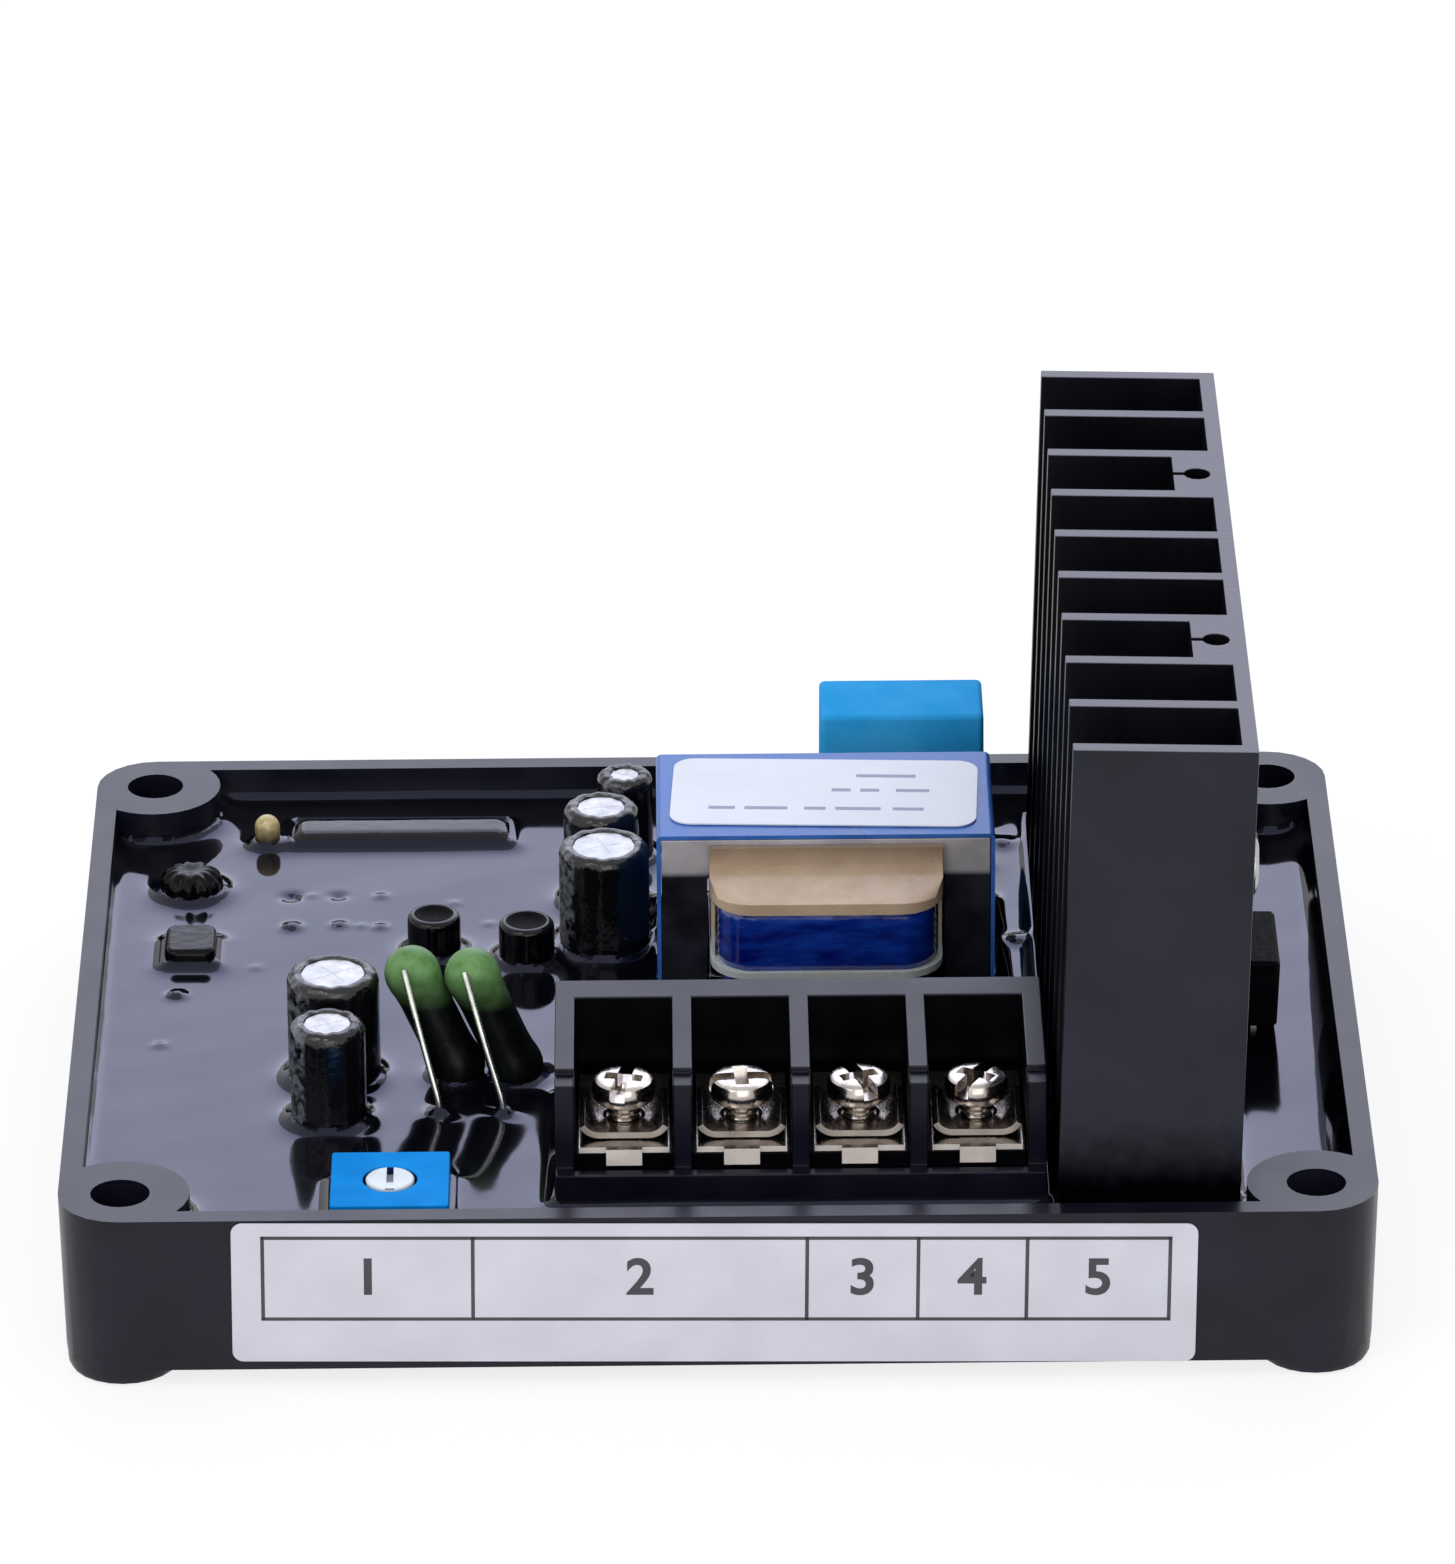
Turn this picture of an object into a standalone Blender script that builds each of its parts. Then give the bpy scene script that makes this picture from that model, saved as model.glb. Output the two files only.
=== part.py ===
"""Automatic voltage regulator: a potted board in an open tray, with a finned heatsink.

Metres, +Z up. The origin is the centre of the tray's outline, at the underside of its feet.
+X runs along the tray's long side, towards the heatsink, and +Y away from the terminals.
"""
from math import atan2, cos, pi, radians, sin

import bmesh
import bpy
from mathutils import Matrix, Vector

# Fits shared by all pieces
SEAT_GAP = 0.0002
RUN_GAP = 0.00025
POCKET_GAP = 0.0002
FILM_GAP = 0.00006
CUT_OVER = 0.001
OVERLAP = 0.0003

# Case
CASE_LENGTH = 0.106
CASE_WIDTH = 0.086
CASE_HEIGHT = 0.0152
CASE_WALL = 0.0018
CASE_FLOOR = 0.0014
CASE_CORNER_RADIUS = 0.005
CASE_DRAFT_INSET = 0.0003
FOOT_HEIGHT = 0.0016
FOOT_RADIUS = 0.0046
FOOT_EDGE = 0.0007
HOLE_EDGE_DISTANCE = 0.005
HOLE_DIAMETER = 0.0048
BOSS_RADIUS = 0.0056

# Board and resin
TAIL_SPACE = 0.0017
BOARD_THICKNESS = 0.0016
BOARD_MARGIN = 0.0008
POST_RADIUS = 0.0022
POST_SIDE_DISTANCE = 0.0122
POST_END_DISTANCE = 0.0042
RESIN_LEVEL = 0.0123
LEAD_DIAMETER = 0.0006
LEAD_TAIL = 0.0010
DRILL_CLEARANCE = 0.0003

# Heatsink
SINK_DEPTH = 0.01465
SINK_HEIGHT = 0.0475
SINK_SIDE_GAP = 0.00955
SINK_FRONT_GAP = 0.0019
SINK_REAR_GAP = 0.005
SINK_LEAN = radians(1.4)
SINK_BACK = 0.0013
FIN_COUNT = 10
FIN_THICKNESS = 0.0014
BOSS_CHANNELS = (2, 6)
SINK_BOSS_DEPTH = 0.0044
KEYHOLE_DEPTH = 0.0024
KEYHOLE_DIAMETER = 0.0022
KEYHOLE_NECK = 0.0005
SINK_SCREW_LENGTH = 0.010
SINK_SCREW_HEAD = 0.005
SINK_SCREW_HEAD_HEIGHT = 0.0012

# Power transistor and its screw
DEVICE_CHANNEL = 4
DEVICE_WIDTH = 0.010
DEVICE_BODY_HEIGHT = 0.0092
DEVICE_BODY_THICKNESS = 0.0045
DEVICE_TAB_THICKNESS = 0.0013
DEVICE_TAB_HEIGHT = 0.0064
DEVICE_CLEARANCE = 0.0069
DEVICE_LEG_PITCH = 0.00254
DEVICE_LEG_WIDTH = 0.0008
DEVICE_LEG_THICKNESS = 0.0005
DEVICE_LEG_SETBACK = 0.0027
DEVICE_HOLE = 0.0038
DEVICE_HOLE_DROP = 0.0028
DEVICE_SCREW_DIAMETER = 0.0029
DEVICE_SCREW_LENGTH = 0.006
DEVICE_SCREW_HEAD = 0.0055
DEVICE_SCREW_HEAD_HEIGHT = 0.0012

# Terminal block
WAYS = 4
WAY_PITCH = 0.0095
TERMINAL_SINK_GAP = 0.0005
TERMINAL_DEPTH = 0.0196
TERMINAL_TOP = 0.0229
DIVIDER_THICKNESS = 0.0016
DIVIDER_SETBACK = 0.0014
DIVIDER_STEP = 0.0005
DIVIDER_STEP_LENGTH = 0.0021
REAR_WALL = 0.0032
SILL_TOP = 0.0150
BAY_FLOOR = 0.0158
BAY_FLOOR_SETBACK = 0.0024
SILL_POCKET_DROP = 0.0004
PLATE_THICKNESS = 0.0005
PLATE_SIDE_GAP = 0.0003
PLATE_OVERHANG = 0.0003
PLATE_LENGTH = 0.0131
STRAP_WIDTH = 0.0029
STRAP_PROUD = 0.00003
TAB_DROP = 0.0014
PIN_WIDTH = 0.0012
PIN_THICKNESS = 0.0008
WASHER_WIDTH = 0.0072
WASHER_DEPTH = 0.0068
WASHER_THICKNESS = 0.00055
WASHER_REST = 0.0001
WASHER_CURL_RADIUS = 0.0013
WASHER_CURL = radians(62)
SCREW_SETBACK = 0.0068
SCREW_DIAMETER = 0.0029
SCREW_LENGTH = 0.008
SCREW_HEAD = 0.0052
SCREW_HEAD_HEIGHT = 0.0019
SCREW_RAISED = 0.0015
RECESS_WIDTH = 0.0008
RECESS_SPAN = 0.003
RECESS_DEPTH = 0.0013

# Trimmer
TRIMMER_SIDE = 0.00953
TRIMMER_TERMINAL_DISTANCE = 0.0133
TRIMMER_WALL_GAP = 0.00113
TRIMMER_TOP = 0.0149
TRIMMER_EDGE = 0.00015
ROTOR_DIAMETER = 0.0039
ROTOR_HEIGHT = 0.0011
ROTOR_PROUD = 0.0001
ROTOR_SLOT_WIDTH = 0.0006
ROTOR_SLOT_DEPTH = 0.0006
TRIMMER_PIN_PITCH = 0.00254

# Transformer
CORE_WIDTH = 0.0274
CORE_SINK_GAP = 0.0036
CORE_STACK = 0.016
CORE_TOP = 0.0258
CORE_YOKE = 0.0033
CORE_LEG = 0.0038
CORE_CENTRE_LEG = 0.008
BOBBIN_WALL = 0.0007
BOBBIN_REACH = 0.006
BOBBIN_CORNER = 0.0035
FLANGE_THICKNESS = 0.0006
FLANGE_RIM = 0.001
GUARD_RISE = 0.0012
GUARD_LIP_TOP = 0.0254
GUARD_LIP = 0.0006
MIDDLE_FLANGE_Z = 0.0158
PIN_RAIL_PINS = 4
TRANSFORMER_PIN_EDGE = 0.0005
WEB_THICKNESS = 0.0003
WEB_INSET = 0.0001
WINDING_SETBACK = 0.0005
WINDING_SIDE_GAP = 0.0009
WINDING_CORNER = 0.0024
TAPE_THICKNESS = 0.00035
TRANSFORMER_LABEL = (0.0256, 0.0127)
TRANSFORMER_LABEL_CORNER = 0.0018
TRANSFORMER_LABEL_TURN = radians(-2.4)
LABEL_FILM = 0.00012

# Box capacitor
BOX_CAP_WIDTH = 0.0141
BOX_CAP_DEPTH = 0.0078
BOX_CAP_TOP = 0.0266
BOX_CAP_PROUD = 0.0002
BOX_CAP_EDGE = 0.0003
BOX_CAP_LEAD_PITCH = 0.010

# Electrolytic capacitors: name, x and y from the terminal block's left front corner, radius, top
FRONT_ELECTROLYTICS = (
    ("capacitor_front", -0.0186, 0.0158, 0.0031, 0.0213),
    ("capacitor_second", -0.0183, 0.02335, 0.0038, 0.0221),
)
# The same, from the transformer core's left front corner
REAR_ELECTROLYTICS = (
    ("capacitor_tall", -0.00485, 0.0082, 0.0038, 0.0217),
    ("capacitor_middle", -0.0051, 0.0162, 0.0032, 0.0215),
    ("capacitor_rear", -0.0031, 0.0247, 0.0024, 0.0205),
)
SLEEVE_THICKNESS = 0.00025
SLEEVE_GAP = 0.00008
SLEEVE_LIP = 0.0007
SLEEVE_SHOULDER = 0.0006
CAN_RECESS = 0.0002
CAN_LEAD_PITCH_RATIO = 0.4

# Short black capacitors: name, x and y from the transformer core's left front corner, radius, top
SMALL_CAPACITORS = (
    ("small_capacitor_1", -0.0192, 0.0067, 0.00225, 0.016),
    ("small_capacitor_2", -0.0114, 0.00525, 0.00235, 0.016),
)
SMALL_CAPACITOR_EDGE = 0.0004

# Green resistors, from the terminal block's left front corner: foot, head and lead entry, x and y
GREEN_RESISTORS = (
    ((-0.0082, 0.0233), (-0.0118, 0.0242), (-0.00956, 0.0165)),
    ((-0.0034, 0.0231), (-0.00685, 0.0237), (-0.00432, 0.0164)),
)
GREEN_RADIUS = 0.00207
GREEN_FOOT_Z = 0.0135
GREEN_HEAD_Z = 0.0214
GREEN_LEAD_DIAMETER = 0.00055
GREEN_LEAD_SIDE = 0.0006
GREEN_LEAD_BEND = 0.0009

# Low parts along the left and the back: x and y from the tray's left rear inner corner
CERAMIC_CENTRE = (0.02445, -0.0076)
CERAMIC_LENGTH = 0.0203
CERAMIC_WIDTH = 0.006
CERAMIC_TOP = 0.0134
CERAMIC_EDGE = 0.0005
UPRIGHT_CENTRE = (0.013, -0.0092)
UPRIGHT_RADIUS = 0.00108
UPRIGHT_TOP = 0.0152
CHOKE_CENTRE = (0.0068, -0.0182)
CHOKE_RADIUS = 0.0027
CHOKE_TOP = 0.0148
FILM_CENTRE = (0.00715, -0.0303)
FILM_LENGTH = 0.0043
FILM_WIDTH = 0.0055
FILM_TOP = 0.0140

# Rating label
RATING_LABEL_LENGTH = 0.0773
RATING_LABEL_HEIGHT = 0.0126
RATING_LABEL_X = -0.0004
RATING_LABEL_Z = 0.00835
RATING_LABEL_CORNER = 0.0009
RATING_LABEL_TURN = radians(0.6)

# How the tray's free depth is shared before the terminal block and behind the box capacitor
FRONT_SPACE_SHARE = 0.2169
REAR_SPACE_SHARE = 0.2595

# Derived levels
FLOOR_TOP = FOOT_HEIGHT + CASE_FLOOR
BOARD_BOTTOM = FLOOR_TOP + TAIL_SPACE
BOARD_TOP = BOARD_BOTTOM + BOARD_THICKNESS
PART_SEAT = BOARD_TOP + SEAT_GAP
TAIL_END = BOARD_BOTTOM - LEAD_TAIL

# Derived places
INNER_X = CASE_LENGTH / 2 - CASE_WALL
INNER_Y = CASE_WIDTH / 2 - CASE_WALL
HOLE_SPACING_X = CASE_LENGTH - 2 * HOLE_EDGE_DISTANCE
HOLE_SPACING_Y = CASE_WIDTH - 2 * HOLE_EDGE_DISTANCE
POST_SPACING_X = 2 * (INNER_X - POST_SIDE_DISTANCE)
POST_SPACING_Y = 2 * (INNER_Y - POST_END_DISTANCE)
SINK_LENGTH = 2 * INNER_Y - SINK_FRONT_GAP - SINK_REAR_GAP
SINK_FRONT_Y = -INNER_Y + SINK_FRONT_GAP
SINK_OUTER_FOOT_X = INNER_X - SINK_SIDE_GAP
FIN_TIPS_X = SINK_OUTER_FOOT_X - SINK_DEPTH
TERMINAL_LENGTH = WAYS * WAY_PITCH + DIVIDER_THICKNESS
TERMINAL_X = FIN_TIPS_X - TERMINAL_SINK_GAP - TERMINAL_LENGTH / 2
CORE_X = FIN_TIPS_X - CORE_SINK_GAP - TAPE_THICKNESS - CORE_WIDTH / 2
BOX_CAP_GAP = SEAT_GAP + FILM_GAP
STACK_DEPTH = TERMINAL_DEPTH + CORE_STACK + 2 * BOBBIN_REACH + BOX_CAP_GAP + BOX_CAP_DEPTH
FREE_DEPTH = 2 * INNER_Y - STACK_DEPTH
TERMINAL_FRONT_Y = -INNER_Y + FRONT_SPACE_SHARE * FREE_DEPTH
BOX_CAP_FRONT_Y = INNER_Y - REAR_SPACE_SHARE * FREE_DEPTH - BOX_CAP_DEPTH
CORE_FRONT_Y = BOX_CAP_FRONT_Y - BOX_CAP_GAP - BOBBIN_REACH - CORE_STACK
BOX_CAP_X = CORE_X + (CORE_WIDTH - BOX_CAP_WIDTH) / 2 + BOX_CAP_PROUD
TERMINAL_CORNER = Vector((TERMINAL_X - TERMINAL_LENGTH / 2, TERMINAL_FRONT_Y))
CORE_CORNER = Vector((CORE_X - CORE_WIDTH / 2, CORE_FRONT_Y))
REAR_CORNER = Vector((-INNER_X, INNER_Y))
TRIMMER_X = TERMINAL_CORNER.x - TRIMMER_TERMINAL_DISTANCE
TRIMMER_Y = -INNER_Y + TRIMMER_WALL_GAP + TRIMMER_SIDE / 2

# Facets of round shapes
FINE = 32
ROUND = 24
SMALL = 12
TINY = 8

board_drills = []
resin_pockets = []


def new_collection(name):
    collection = bpy.data.collections.new(name)
    bpy.context.scene.collection.children.link(collection)
    return collection


def clear_scene():
    for obj in list(bpy.data.objects):
        bpy.data.objects.remove(obj)


def material(name, colour, roughness, metallic=0.0):
    mat = bpy.data.materials.new(name)
    mat.use_nodes = True
    shader = mat.node_tree.nodes["Principled BSDF"]
    shader.inputs["Base Color"].default_value = (*colour, 1.0)
    shader.inputs["Roughness"].default_value = roughness
    shader.inputs["Metallic"].default_value = metallic
    mat.diffuse_color = (*colour, 1.0)
    return mat


def add_mesh(name, bm, location=(0, 0, 0), smooth=False):
    """A tool object from a bmesh: it stays a cutter until show() makes it a piece."""
    bmesh.ops.recalc_face_normals(bm, faces=bm.faces)
    mesh = bpy.data.meshes.new(name)
    bm.to_mesh(mesh)
    bm.free()
    if smooth:
        mesh.shade_smooth()
        mesh.set_sharp_from_angle(angle=radians(35))
    obj = bpy.data.objects.new(name, mesh)
    obj.location = location
    cutters.objects.link(obj)
    obj.hide_render = True
    obj.display_type = "WIRE"
    return obj


def show(obj, mat):
    """Move a tool object into the model, with its material."""
    cutters.objects.unlink(obj)
    model.objects.link(obj)
    obj.hide_render = False
    obj.display_type = "TEXTURED"
    obj.data.materials.clear()
    obj.data.materials.append(mat)
    return obj


def block(name, low, high, corner=0.0, edge=0.0, steps=4):
    """A box; corner rounds its upright edges and edge bevels the others."""
    size = Vector(high) - Vector(low)
    bm = bmesh.new()
    bmesh.ops.create_cube(bm, size=1.0)
    bmesh.ops.scale(bm, vec=size, verts=bm.verts)
    if corner:
        upright = [e for e in bm.edges if abs((e.verts[0].co - e.verts[1].co).z) > size.z / 2]
        bmesh.ops.bevel(bm, geom=upright, offset=corner, segments=steps, profile=0.5, affect="EDGES")
    if edge:
        flat = [e for e in bm.edges if e.is_manifold and e.calc_face_angle() > radians(60)]
        bmesh.ops.bevel(bm, geom=flat, offset=edge, segments=1, profile=0.5, affect="EDGES")
    return add_mesh(name, bm, (Vector(low) + Vector(high)) / 2)


def bar(name, radius, z_low, z_high, at, sides=ROUND):
    """An upright round bar."""
    bm = bmesh.new()
    bmesh.ops.create_cone(
        bm, cap_ends=True, segments=sides, radius1=radius, radius2=radius, depth=z_high - z_low
    )
    return add_mesh(name, bm, (at[0], at[1], (z_low + z_high) / 2), smooth=True)


def turned(name, profile, at, sides=ROUND, closed=False):
    """A profile of (radius, z) points, outer side running down, turned about Z."""
    mesh = bpy.data.meshes.new(name)
    points = [(r, 0, z) for r, z in profile]
    edges = [(i, i + 1) for i in range(len(points) - 1)]
    if closed:
        edges.append((len(points) - 1, 0))
    mesh.from_pydata(points, edges, [])
    obj = bpy.data.objects.new(name, mesh)
    cutters.objects.link(obj)
    obj.hide_render = True
    obj.display_type = "WIRE"
    obj.location = (at[0], at[1], 0)
    screw = obj.modifiers.new("Turn", "SCREW")
    screw.axis = "Z"
    screw.angle = 2 * pi
    screw.steps = sides
    screw.render_steps = sides
    screw.use_merge_vertices = True
    screw.merge_threshold = 0.00001
    return baked(obj, name, smooth=True)


def baked(source, name, smooth=False):
    """The evaluated source as a plain mesh in its place; the source is removed."""
    evaluated = source.evaluated_get(bpy.context.evaluated_depsgraph_get())
    mesh = bpy.data.meshes.new_from_object(evaluated)
    place = source.matrix_world.copy()
    bm = bmesh.new()
    bm.from_mesh(mesh)
    bmesh.ops.remove_doubles(bm, verts=bm.verts, dist=0.000002)
    bpy.data.meshes.remove(mesh)
    bpy.data.objects.remove(source)
    obj = add_mesh(name, bm, smooth=smooth)
    obj.matrix_world = place
    return obj


def outline_slab(name, outline, thickness, turn=Matrix.Identity(4)):
    """A flat closed outline, made thick about its own plane and then turned into place."""
    curve = bpy.data.curves.new(name, "CURVE")
    curve.dimensions = "2D"
    curve.fill_mode = "BOTH"
    curve.extrude = thickness / 2
    spline = curve.splines.new("POLY")
    spline.points.add(len(outline) - 1)
    for point, (u, v) in zip(spline.points, outline):
        point.co = (u, v, 0, 1)
    spline.use_cyclic_u = True
    obj = bpy.data.objects.new(name, curve)
    obj.matrix_world = turn
    cutters.objects.link(obj)
    bpy.context.view_layer.update()
    return baked(obj, name)


def upright_section(x):
    """Turn an outline of (y, z) points so that its thickness lies along X, centred on x."""
    return Matrix(((0, 0, 1, x), (1, 0, 0, 0), (0, 1, 0, 0), (0, 0, 0, 1)))


def boolean(target, tools, operation):
    for tool in tools:
        modifier = target.modifiers.new(operation.title(), "BOOLEAN")
        modifier.operation = operation
        modifier.object = tool
        modifier.solver = "EXACT"


def cut(target, *tools):
    boolean(target, tools, "DIFFERENCE")


def join(target, *tools):
    boolean(target, tools, "UNION")


def finished(source):
    """The source with its Booleans applied, so that copies can share the mesh."""
    bpy.context.view_layer.update()
    return baked(source, source.name, smooth=True)


def copy_of(source, name, shift):
    obj = bpy.data.objects.new(name, source.data)
    obj.matrix_world = Matrix.Translation(shift) @ source.matrix_world
    cutters.objects.link(obj)
    return obj


def corners(spacing_x, spacing_y):
    return [(sx * spacing_x / 2, sy * spacing_y / 2) for sx in (-1, 1) for sy in (-1, 1)]


def lead(name, at, z_top, diameter=LEAD_DIAMETER, drill=True):
    """A lead that runs down through the board, whose hole it marks."""
    if drill:
        board_drills.append((at, diameter / 2 + DRILL_CLEARANCE))
    return bar(name, diameter / 2, TAIL_END, z_top, at, TINY)


def pocket(tool):
    resin_pockets.append(tool)


def pocket_block(name, low, high, corner=0.0):
    """A resin pocket round a box, from below the resin to above it."""
    grow = POCKET_GAP
    pocket(block(
        name,
        (low[0] - grow, low[1] - grow, BOARD_TOP - CUT_OVER),
        (high[0] + grow, high[1] + grow, RESIN_LEVEL + CUT_OVER),
        corner + grow if corner else 0.0,
    ))


def pocket_bar(name, radius, at, sides=ROUND):
    pocket(bar(
        name, radius + POCKET_GAP, BOARD_TOP - CUT_OVER, RESIN_LEVEL + CUT_OVER, at, sides
    ))


# Case, board and resin

def make_case(mat):
    half_x = CASE_LENGTH / 2
    half_y = CASE_WIDTH / 2
    case = block(
        "case", (-half_x, -half_y, FOOT_HEIGHT), (half_x, half_y, CASE_HEIGHT),
        CASE_CORNER_RADIUS, steps=6,
    )
    for vert in case.data.vertices:
        if vert.co.z < 0:
            vert.co.x *= 1 - CASE_DRAFT_INSET / half_x
            vert.co.y *= 1 - CASE_DRAFT_INSET / half_y
    hollow = block(
        "case_hollow", (-INNER_X, -INNER_Y, FLOOR_TOP), (INNER_X, INNER_Y, CASE_HEIGHT + CUT_OVER)
    )
    bosses = [
        bar("case_boss", BOSS_RADIUS, FLOOR_TOP - CUT_OVER, CASE_HEIGHT + 2 * CUT_OVER, at, FINE)
        for at in corners(HOLE_SPACING_X, HOLE_SPACING_Y)
    ]
    cut(hollow, *bosses)
    cut(case, hollow)
    feet = [
        turned(
            "case_foot",
            (
                (0, FOOT_HEIGHT + OVERLAP),
                (FOOT_RADIUS, FOOT_HEIGHT + OVERLAP),
                (FOOT_RADIUS, FOOT_EDGE),
                (FOOT_RADIUS - FOOT_EDGE * (1 - cos(pi / 4)), FOOT_EDGE * (1 - sin(pi / 4))),
                (FOOT_RADIUS - FOOT_EDGE, 0),
                (0, 0),
            ),
            at, ROUND,
        )
        for at in corners(HOLE_SPACING_X, HOLE_SPACING_Y)
    ]
    posts = [
        bar("case_post", POST_RADIUS, FLOOR_TOP - OVERLAP, BOARD_BOTTOM - SEAT_GAP, at, SMALL)
        for at in corners(POST_SPACING_X, POST_SPACING_Y)
    ]
    join(case, *feet, *posts)
    holes = [
        bar("case_hole", HOLE_DIAMETER / 2, -CUT_OVER, CASE_HEIGHT + CUT_OVER, at, ROUND)
        for at in corners(HOLE_SPACING_X, HOLE_SPACING_Y)
    ]
    cut(case, *holes)
    show(case, mat)


def make_board(mat):
    reach_x = INNER_X - BOARD_MARGIN
    reach_y = INNER_Y - BOARD_MARGIN
    board = block(
        "circuit_board", (-reach_x, -reach_y, BOARD_BOTTOM), (reach_x, reach_y, BOARD_TOP)
    )
    notches = [
        bar("board_notch", BOSS_RADIUS + BOARD_MARGIN, BOARD_BOTTOM - CUT_OVER,
            BOARD_TOP + CUT_OVER, at, ROUND)
        for at in corners(HOLE_SPACING_X, HOLE_SPACING_Y)
    ]
    drills = [
        bar("board_drill", radius, BOARD_BOTTOM - CUT_OVER, BOARD_TOP + CUT_OVER, at, TINY)
        for at, radius in board_drills
    ]
    cut(board, *notches, *drills)
    show(board, mat)


def make_resin(mat):
    reach_x = INNER_X - POCKET_GAP
    reach_y = INNER_Y - POCKET_GAP
    resin = block(
        "potting", (-reach_x, -reach_y, PART_SEAT), (reach_x, reach_y, RESIN_LEVEL)
    )
    notches = [
        bar("resin_notch", BOSS_RADIUS + POCKET_GAP, BOARD_BOTTOM, RESIN_LEVEL + CUT_OVER, at, FINE)
        for at in corners(HOLE_SPACING_X, HOLE_SPACING_Y)
    ]
    cut(resin, *notches, *resin_pockets)
    show(resin, mat)


# Heatsink and what is fixed to it

def channel_centre(channel):
    """Distance from the heatsink's front face to the middle of a channel."""
    pitch = (SINK_LENGTH - FIN_THICKNESS) / (FIN_COUNT - 1)
    return FIN_THICKNESS / 2 + pitch * (channel + 0.5)


def keyhole(centre):
    """The groove that a screw cuts into: a round bore and its narrow neck, seen from above."""
    bore = SINK_DEPTH - KEYHOLE_DEPTH
    radius = KEYHOLE_DIAMETER / 2
    half_neck = atan2(KEYHOLE_NECK / 2, radius)
    mouth = SINK_DEPTH - SINK_BOSS_DEPTH
    start = pi - half_neck
    sweep = 2 * (pi - half_neck)
    arc = [
        (bore + radius * cos(start - sweep * i / SMALL), centre + radius * sin(start - sweep * i / SMALL))
        for i in range(SMALL + 1)
    ]
    return [(mouth, centre + KEYHOLE_NECK / 2), *arc, (mouth, centre - KEYHOLE_NECK / 2)]


def sink_outline(grow=0.0, keyholes=True):
    """The extrusion's section: x from the fin tips to the back, y from the front fin."""
    pitch = (SINK_LENGTH - FIN_THICKNESS) / (FIN_COUNT - 1)
    outline = [
        (-grow, -grow),
        (SINK_DEPTH + grow, -grow),
        (SINK_DEPTH + grow, SINK_LENGTH + grow),
        (-grow, SINK_LENGTH + grow),
    ]
    for channel in reversed(range(FIN_COUNT - 1)):
        far = (channel + 1) * pitch - grow
        near = channel * pitch + FIN_THICKNESS + grow
        boss = channel in BOSS_CHANNELS
        root = SINK_DEPTH - (SINK_BOSS_DEPTH if boss else SINK_BACK) - grow
        outline += [(-grow, far), (root, far)]
        if boss and keyholes:
            outline += keyhole(channel_centre(channel))
        outline += [(root, near), (-grow, near)]
    return outline


def on_sink(obj):
    """Stand a piece, built in the heatsink's own frame, on the leaning foot."""
    obj.parent = sink_frame


def make_sink_frame():
    """The heatsink leans outwards about its outer foot. Its own frame starts at the fin tips."""
    frame = bpy.data.objects.new("sink_frame", None)
    lean = Matrix.Rotation(SINK_LEAN, 4, "Y")
    foot = Matrix.Translation((SINK_OUTER_FOOT_X, SINK_FRONT_Y, PART_SEAT))
    frame.matrix_world = foot @ lean @ Matrix.Translation((-SINK_DEPTH, 0, 0))
    model.objects.link(frame)
    return frame


def make_heatsink(mat):
    rise = Matrix.Translation((0, 0, SINK_HEIGHT / 2))
    sink = outline_slab("heatsink", sink_outline(), SINK_HEIGHT, rise)
    bore = turned_bar_x("sink_screw_bore", DEVICE_SCREW_DIAMETER / 2 + RUN_GAP,
                        SINK_DEPTH - SINK_BACK - CUT_OVER, SINK_DEPTH + CUT_OVER, device_hole_place())
    cut(sink, bore)
    show(sink, mat)
    reach = RESIN_LEVEL - PART_SEAT + CUT_OVER
    hole = outline_slab(
        "sink_pocket", sink_outline(POCKET_GAP, keyholes=False), reach + CUT_OVER,
        Matrix.Translation((0, 0, (reach - CUT_OVER) / 2)),
    )
    for obj in (sink, bore, hole):
        on_sink(obj)
    pocket(hole)


def make_sink_screws(mat):
    head_top = BOARD_BOTTOM - PART_SEAT - SEAT_GAP
    radius = KEYHOLE_DIAMETER / 2 - SEAT_GAP
    for channel, place in zip(BOSS_CHANNELS, ("front", "rear")):
        at = (SINK_DEPTH - KEYHOLE_DEPTH, channel_centre(channel))
        screw = turned(
            f"heatsink_screw_{place}",
            (
                (0, head_top + SINK_SCREW_LENGTH),
                (radius * 0.4, head_top + SINK_SCREW_LENGTH),
                (radius, head_top + SINK_SCREW_LENGTH - radius),
                (radius, head_top),
                (SINK_SCREW_HEAD / 2, head_top),
                (SINK_SCREW_HEAD / 2, head_top - SINK_SCREW_HEAD_HEIGHT * 0.6),
                (SINK_SCREW_HEAD * 0.35, head_top - SINK_SCREW_HEAD_HEIGHT),
                (0, head_top - SINK_SCREW_HEAD_HEIGHT),
            ),
            at, SMALL,
        )
        show(screw, mat)
        on_sink(screw)
        world = sink_frame.matrix_world @ Vector((*at, (BOARD_BOTTOM + BOARD_TOP) / 2 - PART_SEAT))
        board_drills.append(((world.x, world.y), radius + 2 * DRILL_CLEARANCE))


def device_hole_place():
    """Height and distance from the front of the transistor's screw, in the heatsink's frame."""
    height = DEVICE_CLEARANCE + DEVICE_BODY_HEIGHT + DEVICE_TAB_HEIGHT - DEVICE_HOLE_DROP
    return channel_centre(DEVICE_CHANNEL), height


def turned_bar_x(name, radius, x_low, x_high, place, sides=ROUND):
    """A round bar along X at (y, z)."""
    obj = bar(name, radius, x_low, x_high, (0, 0), sides)
    bmesh_turn = Matrix.Rotation(pi / 2, 4, "Y")
    obj.data.transform(Matrix.Translation((0, 0, (x_low + x_high) / 2)))
    obj.data.transform(bmesh_turn)
    obj.location = (0, place[0], place[1])
    return obj


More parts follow.
